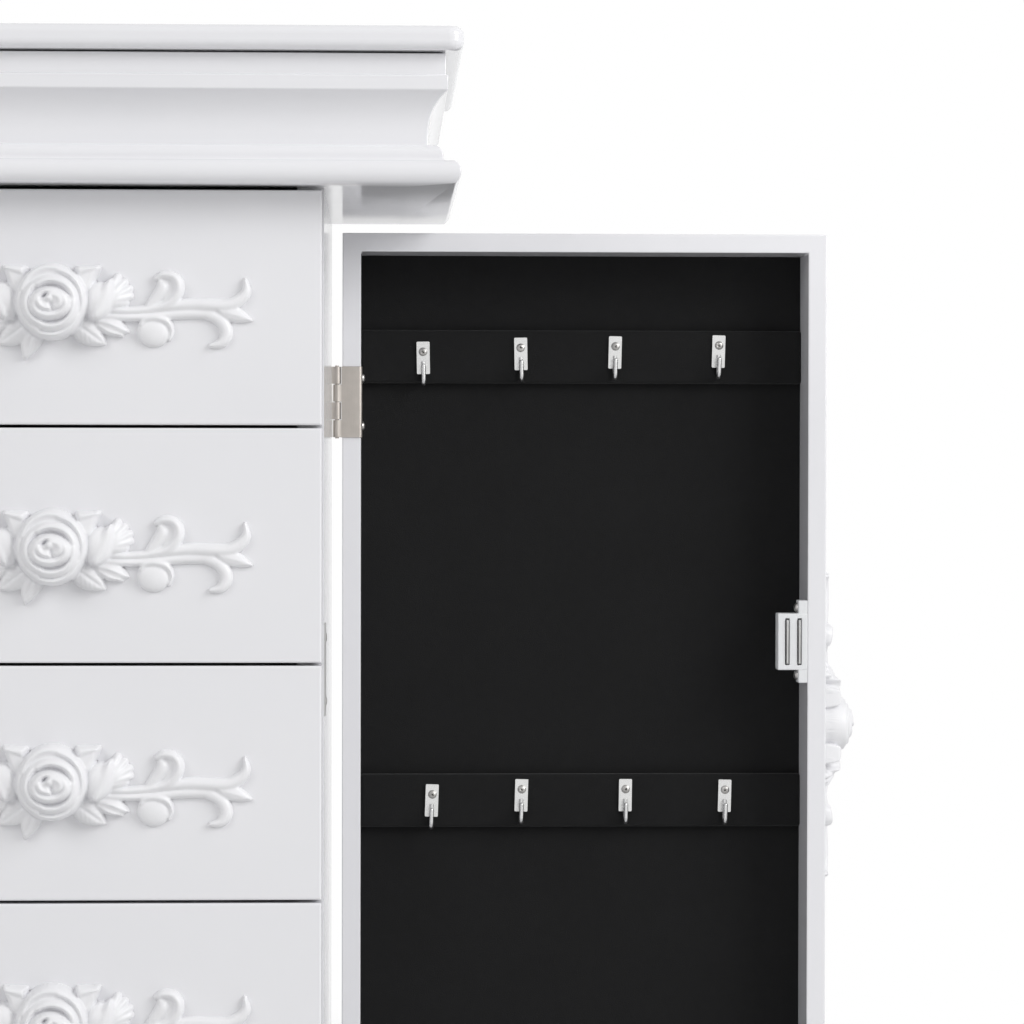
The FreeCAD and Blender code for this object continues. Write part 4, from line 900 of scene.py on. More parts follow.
# %% A carving on every drawer
DRAWERS = range(1, 1 + sum(joint["name"].startswith("drawer") for joint in frame["joints"]))
DRAWER_ROSE_RISES = (3.6 * MM, 0.0, 2.0 * MM, 1.0 * MM, 1.0 * MM)
for number in DRAWERS:
    low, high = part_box("drawer_%d_front" % number)
    heart = (low.z + high.z) / 2 + DRAWER_ROSE_RISES[number - 1]
    face_y = low.y

    def on_drawer(u, w, height):
        return (u, face_y - height, heart + w)

    piece_of(carving_mesh("rose_carving_%d" % number, on_drawer), "drawer_%d" % number,
             ["drawer_%d_applique" % number])
print("drawer faces at y", round(face_y, 4))

# %% [markdown]
# ## The side doors in their own frame
# Both doors are the same shallow tray, one hinged on each side at the back. The right one
# stands open in the photograph and the left one is shut, so every door piece is written once
# in the door's own frame, x from the hinge line to the free edge, y from the open rim to the
# outer skin, and then put on the right or the left.

# %% A door's own frame
SIDES = ("right", "left")
PIVOT_X, PIVOT_Y = [joint["pos_m"] for joint in frame["joints"] if joint["child"] == "right_door"][0][:2]


def on_door(side, x, y, z):
    """A point of the door's own frame, on the open right door or on the closed left one."""
    if side == "right":
        return (PIVOT_X + x, PIVOT_Y + y, z)
    return (-PIVOT_X - y, PIVOT_Y - x, z)


def door_box(part):
    """Lowest and highest corner of a door piece in the door's own frame."""
    pivot = Vector((PIVOT_X, PIVOT_Y, 0.0))
    return [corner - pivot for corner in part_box("right_door_" + part)]


def door_piece(side, mesh, part, finish=None):
    """Puts a mesh that was written in the door's frame on one of the doors."""
    for vertex in mesh.vertices:
        vertex.co = on_door(side, *vertex.co)
    if side == "left":
        mesh.flip_normals()
    return piece_of(mesh, side + "_door", [side + "_door_" + part], finish)


DOOR_LOW, DOOR_HIGH = door_box("frame")
SKIN_LOW, SKIN_HIGH = door_box("skin")
DOOR_WALL = 12.0 * MM
print("door", [round(v, 4) for v in SKIN_HIGH - DOOR_LOW])

# %% [markdown]
# The tray's frame is four boards glued at the corners, filled and lacquered over, so it
# looks like one ring. It is written as one: an outer and an inner loop, joined round.

# %% The tray frames
def ring_mesh(name):
    """Four loops of four corners: outer and inner, each at the rim and at the back."""
    points = []
    for inset in (0.0, DOOR_WALL):
        x0, x1 = DOOR_LOW.x + inset, DOOR_HIGH.x - inset
        z0, z1 = DOOR_LOW.z + inset, DOOR_HIGH.z - inset
        for y in (DOOR_LOW.y, DOOR_HIGH.y):
            points += [(x0, y, z0), (x1, y, z0), (x1, y, z1), (x0, y, z1)]
    outer_rim, outer_back, inner_rim, inner_back = (range(k, k + 4) for k in range(0, 16, 4))
    faces = []
    for first, second in ((outer_rim, outer_back), (outer_back, inner_back), (inner_back, inner_rim),
                          (inner_rim, outer_rim)):
        faces += [(first[i], first[(i + 1) % 4], second[(i + 1) % 4], second[i]) for i in range(4)]
    return mesh_of(name, points, faces)


for side in SIDES:
    soften(door_piece(side, ring_mesh(side + "_tray_frame"), "frame"), 0.8 * MM)

# %% [markdown]
# Black felt is glued over the tray's back and round two boards that carry the hooks. Felt
# is soft, so the panel is a fine grid that swells and sinks by a tenth of a millimetre or
# two, and the boards have round felt-covered edges.

# %% Felt panels and felt-covered hook boards
def ripple(x, z):
    """Slow waves from -1 to 1 that never repeat on one panel."""
    return (math.sin(x * 41.0 + 1.3 * math.sin(z * 23.0))
            + math.sin(z * 31.0 + 2.0 * math.sin(x * 17.0))) / 2


def felt_board(name, low, high, swell, pitch):
    """A board whose front is a grid that swells, its edges drawn back to the board's plane."""
    across = max(2, round((high.x - low.x) / pitch))
    up = max(2, round((high.z - low.z) / pitch))
    points, faces = [], []
    for i in range(across + 1):
        for j in range(up + 1):
            x = low.x + (high.x - low.x) * i / across
            z = low.z + (high.z - low.z) * j / up
            inner = min(i, across - i, 1) * min(j, up - j, 1)
            points.append((x, low.y + swell * (1.0 + ripple(x, z) * inner), z))
    row = up + 1
    for i in range(across):
        for j in range(up):
            a = i * row + j
            faces.append((a, a + 1, a + row + 1, a + row))
    rim = ([(i, 0) for i in range(across)] + [(across, j) for j in range(up)]
           + [(i, up) for i in range(across, 0, -1)] + [(0, j) for j in range(up, 0, -1)])
    start = len(points)
    for i, j in rim:
        x, _, z = points[i * row + j]
        points.append((x, high.y, z))
    for k, (i, j) in enumerate(rim):
        following = (k + 1) % len(rim)
        ni, nj = rim[following]
        faces.append((i * row + j, ni * row + nj, start + following, start + k))
    faces.append(tuple(range(start, start + len(rim))))
    return mesh_of(name, points, faces)


PANEL_SWELL, PANEL_PITCH = 0.15 * MM, 8.0 * MM
RAIL_SWELL, RAIL_PITCH, RAIL_HEIGHT = 0.12 * MM, 7.0 * MM, 35.0 * MM
for side in SIDES:
    low, high = door_box("felt")
    panel = felt_board(side + "_felt_panel", low, high, PANEL_SWELL, PANEL_PITCH)
    soften(door_piece(side, panel, "felt"), 0.3 * MM)
    low, high = door_box("hook_rails")
    rails = [felt_board("rail", Vector((low.x, low.y, bottom)),
                        Vector((high.x, high.y, bottom + RAIL_HEIGHT)), RAIL_SWELL, RAIL_PITCH)
             for bottom in (low.z, high.z - RAIL_HEIGHT)]
    soften(door_piece(side, joined(side + "_felt_rails", rails), "hook_rails"), 1.7 * MM, 4)

# %% [markdown]
# On the free edge of each door the same carving stands upright, a little smaller, so that
# it stays on the edge's width. It is what one pulls the door by.

# %% The carvings on the doors' free edges
EDGE_CARVING_SCALE = 0.91
FREE_EDGE = DOOR_HIGH.x
ROSE_LEVEL = sum(corner.z for corner in door_box("applique")) / 2
ROSE_FROM_SKIN = 32.5 * MM
ROSE_DEPTH = SKIN_HIGH.y - ROSE_FROM_SKIN


def on_edge(u, w, height):
    """The carving's right points up and its top to the tray's open side."""
    return (FREE_EDGE + height, ROSE_DEPTH - w, ROSE_LEVEL + u)


for side in SIDES:
    door_piece(side, carving_mesh(side + "_rose_carving", on_edge, EDGE_CARVING_SCALE), "applique")
print("door rose at z", round(ROSE_LEVEL, 4))

# %% [markdown]
# ## Pockets and slots
# Felt trays, drawer linings and the plastic catch are all a block with rectangular pockets
# in one face. One function makes them: the edges of the pockets cut the face into a grid,
# the cells inside a pocket sink to its floor, and walls close every step.

# %% A block with pockets in its top
def pocketed(name, low, high, pockets, floor, place=lambda x, y, z: (x, y, z)):
    """Pockets are (x0, x1, y0, y1); place turns the block once it is made."""
    xs = sorted({low[0], high[0], *(v for pocket in pockets for v in pocket[:2])})
    ys = sorted({low[1], high[1], *(v for pocket in pockets for v in pocket[2:])})
    levels = (high[2], floor, low[2])
    TOP, FLOOR, BOTTOM = range(3)
    index, points, faces = {}, [], []

    def corner(i, j, level):
        if (i, j, level) not in index:
            index[i, j, level] = len(points)
            points.append(place(xs[i], ys[j], levels[level]))
        return index[i, j, level]

    def sunk(i, j):
        x, y = (xs[i] + xs[i + 1]) / 2, (ys[j] + ys[j + 1]) / 2
        return any(x0 < x < x1 and y0 < y < y1 for x0, x1, y0, y1 in pockets)

    across, up = len(xs) - 1, len(ys) - 1
    for i in range(across):
        for j in range(up):
            ring = ((i, j), (i + 1, j), (i + 1, j + 1), (i, j + 1))
            faces.append([corner(*c, FLOOR if sunk(i, j) else TOP) for c in ring])
            for k, (ni, nj) in enumerate(((i, j - 1), (i + 1, j), (i, j + 1), (i - 1, j))):
                a, b = ring[k], ring[(k + 1) % 4]
                if not (0 <= ni < across and 0 <= nj < up):
                    faces.append([corner(*a, TOP), corner(*b, TOP), corner(*b, BOTTOM), corner(*a, BOTTOM)])
                elif sunk(i, j) and not sunk(ni, nj):
                    faces.append([corner(*a, TOP), corner(*b, TOP), corner(*b, FLOOR), corner(*a, FLOOR)])
    faces.append([corner(i, 0, BOTTOM) for i in range(across)]
                 + [corner(across, j, BOTTOM) for j in range(up)]
                 + [corner(i, up, BOTTOM) for i in range(across, 0, -1)]
                 + [corner(0, j, BOTTOM) for j in range(up, 0, -1)])
    return mesh_of(name, points, faces)


# %% The separate bodies and the pocket floors in a piece of the frame
def gathered(seeds, neighbours):
    """Groups of things that reach each other."""
    left, groups = set(seeds), []
    while left:
        reached, group = [left.pop()], []
        while reached:
            group.append(reached.pop())
            for other in neighbours(group[-1]):
                if other in left:
                    left.remove(other)
                    reached.append(other)
        groups.append(group)
    return groups


def merged_copy(name):
    """The frame's loose triangles as one shape whose corners are shared."""
    shape = bmesh.new()
    shape.from_mesh(frame["nodes"][name].data)
    bmesh.ops.remove_doubles(shape, verts=shape.verts, dist=MM / 1000)
    return shape


def islands(name):
    """The points of each separate body."""
    shape = merged_copy(name)
    groups = gathered(shape.verts, lambda v: [edge.other_vert(v) for edge in v.link_edges])
    bodies = [np.array([vertex.co[:] for vertex in group]) for group in groups]
    shape.free()
    return bodies


def pocket_floors(name):
    """Bounds (x0, x1, y0, y1) and level of every floor that lies below the top."""
    shape = merged_copy(name)
    shape.normal_update()
    top = max(vertex.co.z for vertex in shape.verts)
    floors = [face for face in shape.faces
              if face.normal.z > 0.9 and face.calc_center_median().z < top - MM]
    groups = gathered(floors, lambda face: [other for edge in face.edges for other in edge.link_faces])
    found = []
    for group in groups:
        corners = np.array([vertex.co[:] for face in group for vertex in face.verts])
        x0, y0, level = corners.min(0)
        x1, y1, _ = corners.max(0)
        found.append(tuple(round(float(v), 6) for v in (x0, x1, y0, y1)))
    shape.free()
    return found, float(level)


# %% [markdown]
# The tray under the lid and the lining of each drawer are boards wrapped in felt, so every
# arris is round. Each lining is a block with one pocket, the tray has eight, and the
# pockets are measured on the frame's own pieces.

# %% Felt tray and drawer linings
felt_trays = [("top_tray", "cabinet")] + [("drawer_%d_liner" % n, "drawer_%d" % n) for n in DRAWERS]
for name, body in felt_trays:
    low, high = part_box(name)
    floors, level = pocket_floors(name)
    soften(piece_of(pocketed("felt_" + name, low, high, floors, level), body, [name]), 0.9 * MM, 3)
    print(name, len(floors), "pockets")

# %% [markdown]
# Rings are held between eight long rolls of foam in felt. A roll is round on top and pinched
# at its two ends, and the foam gives the felt slow dents.

# %% Ring rolls
ROLL_STATIONS, ROLL_ARC = 48, 14
ROLL_PINCH, PINCH_QUICKNESS, ROLL_DENT = 0.22, 40, 0.2 * MM


def roll_mesh(name, low, high):
    """A long roll from low to high: flat below, round above, pinched at its ends."""
    radius = (high[1] - low[1]) / 2
    middle, shoulder = (low[1] + high[1]) / 2, high[2] - radius
    section = [(radius, low[2])] + [(radius * math.cos(a), shoulder + radius * math.sin(a))
                                    for a in np.linspace(0, math.pi, ROLL_ARC)] + [(-radius, low[2])]
    points, faces = [], []
    for i in range(ROLL_STATIONS + 1):
        share = i / ROLL_STATIONS
        x = low[0] + (high[0] - low[0]) * share
        pinch = 1 - ROLL_PINCH * (math.exp(-share * PINCH_QUICKNESS)
                                  + math.exp(-(1 - share) * PINCH_QUICKNESS))
        for y, z in section:
            dent = ROLL_DENT * math.sin(x * 90 + middle * 700) * math.sin(x * 37 + z * 300)
            points.append((x, middle + y * pinch + dent * (abs(y) > 0.7 * radius),
                           low[2] + (z - low[2]) * pinch - abs(dent) * (z > shoulder)))
    count = len(section)
    for i in range(ROLL_STATIONS):
        for j in range(count):
            a, b = i * count + j, i * count + (j + 1) % count
            faces.append((a, b, b + count, a + count))
    faces += [tuple(range(count)), tuple(range(ROLL_STATIONS * count, (ROLL_STATIONS + 1) * count))]
    return mesh_of(name, points, faces)


roll_bounds = [(body.min(0), body.max(0)) for body in islands("ring_rolls")]
rolls = piece_of(joined("foam_ring_rolls", [roll_mesh("roll", low, high) for low, high in roll_bounds]),
                 "cabinet", ["ring_rolls"])
soften(rolls, 1.0 * MM)
print(len(roll_bounds), "ring rolls")

# %% [markdown]
# The mirror under the lid is thick glass with a ground bevel all round, which catches a
# bright line when the lid is up.

# %% Lid mirror
MIRROR_BEVEL, MIRROR_EDGE = 12.0 * MM, 1.4 * MM


def bevelled_sheet(name, low, high):
    """A sheet that faces down, its lower face ground away towards the rim."""
    loops = [(0.0, high.z), (0.0, low.z + MIRROR_EDGE), (MIRROR_BEVEL, low.z)]
    points = [(x, y, z) for inset, z in loops for x, y in
              ((low.x + inset, low.y + inset), (high.x - inset, low.y + inset),
               (high.x - inset, high.y - inset), (low.x + inset, high.y - inset))]
    faces = [(4 * k + i, 4 * k + (i + 1) % 4, 4 * k + 4 + (i + 1) % 4, 4 * k + 4 + i)
             for k in range(2) for i in range(4)]
    return mesh_of(name, points, faces + [(0, 1, 2, 3), (8, 9, 10, 11)])


LID_BODY = [joint["child"] for joint in frame["joints"] if joint["name"].startswith("lid")][0]
piece_of(bevelled_sheet("bevelled_mirror", *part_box("lid_mirror")), LID_BODY, ["lid_mirror"])

# %% [markdown]
# ## Hinges
# A hinge leaf is a band of sheet steel. One edge is cut into tabs that are rolled round the
# pin, and a door's leaf is bent once more, over the tray's rim and onto its inner wall. Each
# band is written as a path in plan with a thickness, so rolls and bends come out round.

# %% Bands of sheet metal
def band(name, path, thickness, low, high):
    """A path of (x, y) with a thickness, from one z to another."""
    path = np.array(path)
    along = np.gradient(path, axis=0)
    along /= np.linalg.norm(along, axis=1)[:, None]
    out = np.stack([-along[:, 1], along[:, 0]], 1) * thickness / 2
    outline = np.vstack([path + out, (path - out)[::-1]])
    count = len(outline)
    points = [(x, y, z) for z in (low, high) for x, y in outline]
    faces = [(i, (i + 1) % count, (i + 1) % count + count, i + count) for i in range(count)]
    faces += [(i + base, i + 1 + base, count - 2 - i + base, count - 1 - i + base)
              for base in (0, count) for i in range(len(path) - 1)]
    return mesh_of(name, points, faces)


LEAF_THICKNESS, KNUCKLE_RADIUS, KNUCKLES, KNUCKLE_GAP = 1.0 * MM, 2.6 * MM, 4, 0.4 * MM
LEAF_CLEARANCE, LEAF_BEND = 0.3 * MM, 1.8 * MM
HINGE_LENGTH, LEAF_EDGE = 46.0 * MM, 0.18 * MM
ROLL_FROM, ROLL_TO, ROLL_STEP = -62, -346, -12


def rolled_edge(plate_y):
    """The tab of a leaf that lies towards +x: under the pin, round behind it and back."""
    radius = KNUCKLE_RADIUS - LEAF_THICKNESS / 2
    start = KNUCKLE_RADIUS + LEAF_CLEARANCE + LEAF_THICKNESS
    turn = [(radius * math.cos(math.radians(a)), radius * math.sin(math.radians(a)))
            for a in range(ROLL_FROM, ROLL_TO, ROLL_STEP)]
    return [(start, plate_y), (start - 1.2 * LEAF_THICKNESS, plate_y)] + turn


def leaf(name, plate, plate_y, first):
    """The plate's path and the rolled tabs, every other one from the first, counted from the top."""
    pitch, half_gap = HINGE_LENGTH / KNUCKLES, KNUCKLE_GAP / 2
    parts = [band("plate", plate, LEAF_THICKNESS, -HINGE_LENGTH / 2, HINGE_LENGTH / 2)]
    for i in range(first, KNUCKLES, 2):
        top = HINGE_LENGTH / 2 - i * pitch
        parts.append(band("tab", rolled_edge(plate_y), LEAF_THICKNESS,
                          top - pitch + half_gap, top - half_gap))
    return joined(name, parts)


def placed(mesh, place):
    """Moves every point and turns the faces outwards again."""
    for vertex in mesh.vertices:
        vertex.co = place(*vertex.co)
    shape = bmesh.new()
    shape.from_mesh(mesh)
    bmesh.ops.recalc_face_normals(shape, faces=shape.faces)
    shape.to_mesh(mesh)
    shape.free()
    return mesh


# %% Leaves on their pins
PINS = [(body.min(0) + body.max(0)) / 2 for body in islands("hinge_pins")]
DOOR_PINS = [pin for pin in PINS if abs(pin[0]) > PIVOT_X - MM]
LID_PINS = [pin for pin in PINS if abs(pin[0]) < PIVOT_X - MM]
LEAF_START = KNUCKLE_RADIUS + LEAF_CLEARANCE
LEAF_END = door_box("hinge_leaves")[1]
FIXED_LEAF_WIDTH, LID_LEAF_WIDTH = 18.0 * MM, 13.0 * MM


def wrap_leaf():
    """Over the rim, a round bend, and along the tray's inner wall."""
    y = DOOR_LOW.y - LEAF_THICKNESS / 2
    x = LEAF_END.x - LEAF_THICKNESS / 2
    bend = [(x - LEAF_BEND + LEAF_BEND * math.sin(a), y + LEAF_BEND - LEAF_BEND * math.cos(a))
            for a in np.linspace(0, math.pi / 2, 8)]
    return leaf("wrap_leaf", [(LEAF_START, y), (LEAF_START + 2 * MM, y)] + bend
                + [(x, y + 2 * LEAF_BEND), (x, LEAF_END.y)], y, 1)


def flat_leaf(width, plate_y, first):
    """A straight plate and its tabs."""
    return leaf("flat_leaf", [(LEAF_START, plate_y), ((LEAF_START + width) / 2, plate_y), (width, plate_y)],
                plate_y, first)


for side in SIDES:
    leaves = [placed(wrap_leaf(), lambda x, y, z, pin=pin: (x, y, z + pin[2]))
              for pin in DOOR_PINS if pin[0] > 0]
    soften(door_piece(side, joined(side + "_wrap_leaves", leaves), "hinge_leaves"), LEAF_EDGE, 2)

fixed, lifting = [], []
for px, py, pz in DOOR_PINS:
    plate_y = CABINET_BACK + LEAF_THICKNESS / 2 - py
    inward = -math.copysign(1.0, px)
    fixed.append(placed(flat_leaf(FIXED_LEAF_WIDTH, plate_y, 0),
                        lambda x, y, z: (px + inward * x, py + y, pz + z)))
for px, py, pz in LID_PINS:
    plate_y = CABINET_BACK + LEAF_THICKNESS / 2 - py
    fixed.append(placed(flat_leaf(FIXED_LEAF_WIDTH, plate_y, 0),
                        lambda x, y, z: (px - z, py + y, pz - x)))
    lifting.append(placed(flat_leaf(LID_LEAF_WIDTH, plate_y, 1),
                          lambda x, y, z: (px - z, py + y, pz + x)))
soften(piece_of(joined("fixed_leaves", fixed), "cabinet", ["cabinet_hinge_leaves"]), LEAF_EDGE, 2)
soften(piece_of(joined("lid_leaves", lifting), LID_BODY, ["lid_hinge_leaves"]), LEAF_EDGE, 2)
print(len(fixed), "fixed leaves,", len(lifting), "on the lid,", 2 * len(leaves), "on the doors")

# %% [markdown]
# ## Magnetic catches
# A catch is a white plastic housing on a flange that is screwed to the tray's wall. Two thin
# steel pole plates stand loose in slots, so that they can settle on the strike plate.

# %% Catches
FLANGE_DEPTH, FLANGE_REACH, CATCH_BODY_HEIGHT = 14.0 * MM, 6.0 * MM, 36.8 * MM
POLE_FROM_WALL, POLE_SPACING, POLE_SLOT, POLE_STEEL = 5.3 * MM, 7.9 * MM, 2.8 * MM, 1.3 * MM
POLE_HEIGHT, POLE_PROUD, SLOT_DEPTH, SLOT_SPARE = 28.5 * MM, 1.2 * MM, 6.0 * MM, 1.0 * MM
FLANGE_TUCK, FLANGE_SETBACK = 1.5 * MM, 0.3 * MM
CATCH_LOW, CATCH_HIGH = door_box("catch")
catch_middle = (CATCH_LOW.z + CATCH_HIGH.z) / 2
catch_rim = CATCH_LOW.y + POLE_PROUD


def out_of_rim(x, y, z):
    """Turns a block's top towards the tray's open side."""
    return (x, -z, y)


def catch_meshes():
    """The housing with its slots and two screw tabs, and the two pole plates."""
    x0, x1 = CATCH_LOW.x, CATCH_HIGH.x
    poles = [x1 - POLE_FROM_WALL - k * POLE_SPACING for k in range(2)]
    low, high = (catch_middle + sign * CATCH_BODY_HEIGHT / 2 for sign in (-1, 1))
    pole_low, pole_high = (catch_middle + sign * POLE_HEIGHT / 2 for sign in (-1, 1))
    slots = [(x - POLE_SLOT / 2, x + POLE_SLOT / 2, pole_low - SLOT_SPARE, pole_high + SLOT_SPARE)
             for x in poles]
    body = pocketed("body", (x0, low, -CATCH_HIGH.y), (x1, high, -catch_rim), slots,
                    -catch_rim - SLOT_DEPTH, out_of_rim)
    tabs = [box_mesh("tab", (x1 - FLANGE_REACH, catch_rim + FLANGE_SETBACK, bottom),
                     (x1, catch_rim + FLANGE_DEPTH, top))
            for bottom, top in ((CATCH_LOW.z, low + FLANGE_TUCK), (high - FLANGE_TUCK, CATCH_HIGH.z))]
    plates = [box_mesh("pole", (x - POLE_STEEL / 2, CATCH_LOW.y, pole_low),
                       (x + POLE_STEEL / 2, catch_rim + SLOT_DEPTH, pole_high)) for x in poles]
    return joined("housing", [body, *tabs]), joined("poles", plates)


for side in SIDES:
    housing, poles = catch_meshes()
    housing.name, poles.name = side + "_catch_housing", side + "_catch_poles"
    soften(door_piece(side, housing, "catch"), 0.6 * MM, 3)
    soften(door_piece(side, poles, "catch", "plate_steel"), 0.2 * MM, 2)

# %% [markdown]
# ## Hooks and screws, grown by Geometry Nodes
# Sixteen hooks and forty-eight screws are each one shape put at many places, and that is
# what Geometry Nodes are for. Each tree below builds one hook or one screw from named sizes
# and sets it on a cloud of points, and every screw is turned about its own axis by chance,
# with a fixed seed, as a hand that drives them leaves them.

# %% Growing a mesh on a cloud of points
def grower(name, sizes):
    """An empty node tree with a cloud of points and named sizes as its inputs."""
    tree = bpy.data.node_groups.new(name, "GeometryNodeTree")
    tree.interface.new_socket("Geometry", in_out="OUTPUT", socket_type="NodeSocketGeometry")
    tree.interface.new_socket("Geometry", in_out="INPUT", socket_type="NodeSocketGeometry")
    for label, value in sizes.items():
        kind = "NodeSocketInt" if isinstance(value, int) else "NodeSocketFloat"
        tree.interface.new_socket(label, in_out="INPUT", socket_type=kind)
    start = tree.nodes.new("NodeGroupInput")
    return tree, {socket.name: Signal(tree, socket) for socket in start.outputs if socket.name}


def vector(tree, x=0.0, y=0.0, z=0.0):
    return node(tree, "ShaderNodeCombineXYZ", None, {"X": x, "Y": y, "Z": z})


def together(tree, *parts):
    made = tree.nodes.new("GeometryNodeJoinGeometry")
    for part in parts:
        tree.links.new(part.socket, made.inputs[0])
    return Signal(tree, made.outputs[0])


def moved(tree, shape, place, turn=(0, 0, 0)):
    return node(tree, "GeometryNodeTransform", None,
                {"Geometry": shape, "Translation": place, "Rotation": turn})


def set_out(tree, given, shape, rotation, scale, finish):
    """The shape on every point, made real, with its material."""
    copies = node(tree, "GeometryNodeInstanceOnPoints", None,
                  {"Points": given["Geometry"], "Instance": shape, "Rotation": rotation, "Scale": scale})
    real = node(tree, "GeometryNodeRealizeInstances", None, {"Geometry": copies})
    dressed = node(tree, "GeometryNodeSetMaterial", None, {"Geometry": real, "Material": FINISHES[finish]})
    end = tree.nodes.new("NodeGroupOutput")
    tree.links.new(dressed.socket, end.inputs[0])


def grown(name, tree, sizes, points, **attributes):
    """The mesh that a tree makes of a cloud of points."""
    cloud = bpy.data.meshes.new(name)
    cloud.from_pydata([tuple(point) for point in points], [], [])
    for label, rows in attributes.items():
        cloud.attributes.new(label, "FLOAT_VECTOR", "POINT").data.foreach_set("vector", np.ravel(rows))
    holder = bpy.data.objects.new(name, cloud)
    bpy.context.scene.collection.objects.link(holder)
    modifier = holder.modifiers.new("grow", "NODES")
    modifier.node_group = tree
    for socket in tree.interface.items_tree:
        if socket.in_out == "INPUT" and socket.name in sizes:
            modifier[socket.identifier] = sizes[socket.name]
    mesh = bpy.data.meshes.new_from_object(holder.evaluated_get(bpy.context.evaluated_depsgraph_get()))
    bpy.data.objects.remove(holder)
    bpy.data.meshes.remove(cloud)
    mesh.name = name
    return mesh


# %% [markdown]
# A hook is a stamped plate with rounded corners and a J of wire pressed into it. The plate is
# a rectangle that is rounded, filled and extruded. The wire is a line through four corners,
# rounded where it bends and swept by a circle, with a ball on its tip. A hook hangs from its
# point, the middle of the plate's upper edge on the board, and leans by a degree or two.

# %% The hook: a stamped plate and a bent wire
HOOK_SIZES = {
    "Plate Width": 8.6 * MM, "Plate Height": 21.4 * MM, "Plate Thickness": 1.2 * MM, "Plate Corner": 0.7 * MM,
    "Wire Radius": 1.35 * MM, "Wire Sink": 0.3 * MM, "Wire Start": 13.0 * MM, "Wire Drop": 24.0 * MM,
    "Bend Radius": 3.9 * MM, "Tip Rise": 8.0 * MM, "Turn": 0.0, "Tilt": math.radians(2.0), "Seed": 3,
}
WIRE_SIDES, BEND_STEPS, WIRE_CORNERS, BALL_RINGS, PLATE_STEPS = 14, 10, 4, 8, 4
hook_tree, given = grower("hook_tree", HOOK_SIZES)
sheet_outline = node(hook_tree, "GeometryNodeFilletCurve", {"mode": "POLY"}, {
    "Curve": node(hook_tree, "GeometryNodeCurvePrimitiveQuadrilateral", None,
                  {"Width": given["Plate Width"], "Height": given["Plate Height"]}),
    "Radius": given["Plate Corner"], "Count": PLATE_STEPS})
sheet = node(hook_tree, "GeometryNodeFillCurve", {"mode": "NGONS"}, {"Curve": sheet_outline})
raised = node(hook_tree, "GeometryNodeExtrudeMesh", None,
              {"Mesh": sheet, "Offset Scale": given["Plate Thickness"], "Individual": False})
closed = node(hook_tree, "GeometryNodeMergeByDistance", None, {
    "Geometry": together(hook_tree, raised, node(hook_tree, "GeometryNodeFlipFaces", None, {"Mesh": sheet})),
    "Distance": MM / 1000})
plate = moved(hook_tree, closed, vector(hook_tree, z=given["Plate Height"] * -0.5), (math.pi / 2, 0, 0))
wire_back = given["Wire Sink"] - given["Plate Thickness"] - given["Wire Radius"]
wire_front = wire_back - 2 * given["Bend Radius"]
wire_low = 0 - given["Wire Drop"] - given["Bend Radius"]
wire_tip = vector(hook_tree, 0, wire_front, given["Tip Rise"] - given["Wire Drop"])
corner_of = hook_tree.nodes.new("GeometryNodeIndexSwitch")
corner_of.data_type = "VECTOR"
while len(corner_of.index_switch_items) < WIRE_CORNERS:
    corner_of.index_switch_items.new()
hook_tree.links.new(node(hook_tree, "GeometryNodeInputIndex").socket, corner_of.inputs[0])
for i, corner in enumerate((vector(hook_tree, 0, wire_back, 0 - given["Wire Start"]),
                            vector(hook_tree, 0, wire_back, wire_low),
                            vector(hook_tree, 0, wire_front, wire_low), wire_tip)):
    hook_tree.links.new(corner.socket, corner_of.inputs[1 + i])
wire_line = node(hook_tree, "GeometryNodeSetPosition", None, {
    "Geometry": node(hook_tree, "GeometryNodeMeshLine", None, {"Count": WIRE_CORNERS}),
    "Position": Signal(hook_tree, corner_of.outputs[0])})
wire_path = node(hook_tree, "GeometryNodeFilletCurve", {"mode": "POLY"}, {
    "Curve": node(hook_tree, "GeometryNodeMeshToCurve", None, {"Mesh": wire_line}),
    "Radius": given["Bend Radius"], "Count": BEND_STEPS, "Limit Radius": True})
wire = node(hook_tree, "GeometryNodeCurveToMesh", None, {
    "Curve": wire_path, "Fill Caps": True,
    "Profile Curve": node(hook_tree, "GeometryNodeCurvePrimitiveCircle", None,
                          {"Resolution": WIRE_SIDES, "Radius": given["Wire Radius"]})})
ball = moved(hook_tree, node(hook_tree, "GeometryNodeMeshUVSphere", None, {
    "Segments": WIRE_SIDES, "Rings": BALL_RINGS, "Radius": given["Wire Radius"]}), wire_tip)
tilt = node(hook_tree, "FunctionNodeRandomValue", {"data_type": "FLOAT"},
            {2: 0 - given["Tilt"], 3: given["Tilt"], 8: given["Seed"]}, output=1)
set_out(hook_tree, given, together(hook_tree, plate, wire, ball),
        vector(hook_tree, 0, tilt, given["Turn"]), (1, 1, 1), "hook_nickel")
print("hook tree", len(hook_tree.nodes), "nodes")

# %% Hooks on both doors
for side in SIDES:
    seats, sizes = [], dict(HOOK_SIZES)
    for body in islands(side + "_door_hooks"):
        low, high = body.min(0), body.max(0)
        if side == "right":
            seats.append(((low[0] + high[0]) / 2, high[1], high[2]))
        else:
            seats.append((low[0], (low[1] + high[1]) / 2, high[2]))
    if side == "left":
        sizes.update({"Turn": math.pi / 2, "Seed": HOOK_SIZES["Seed"] + 1})
    hooks = piece_of(grown(side + "_hooks", hook_tree, sizes, seats), side + "_door", [side + "_door_hooks"])
    soften(hooks, 0.25 * MM, 2)
    print(side, len(seats), "hooks,", len(hooks.data.polygons), "faces")

# %% [markdown]
# The screws have a domed head with a cross recess, and come in four sizes. The tree makes one
# head of radius 1 and height 1: a cone with many rings, its points lifted onto half a ball,
# less two crossed blocks. Every point of the cloud carries the way that its screw aims and
# its size, which are measured on the frame's own screws.

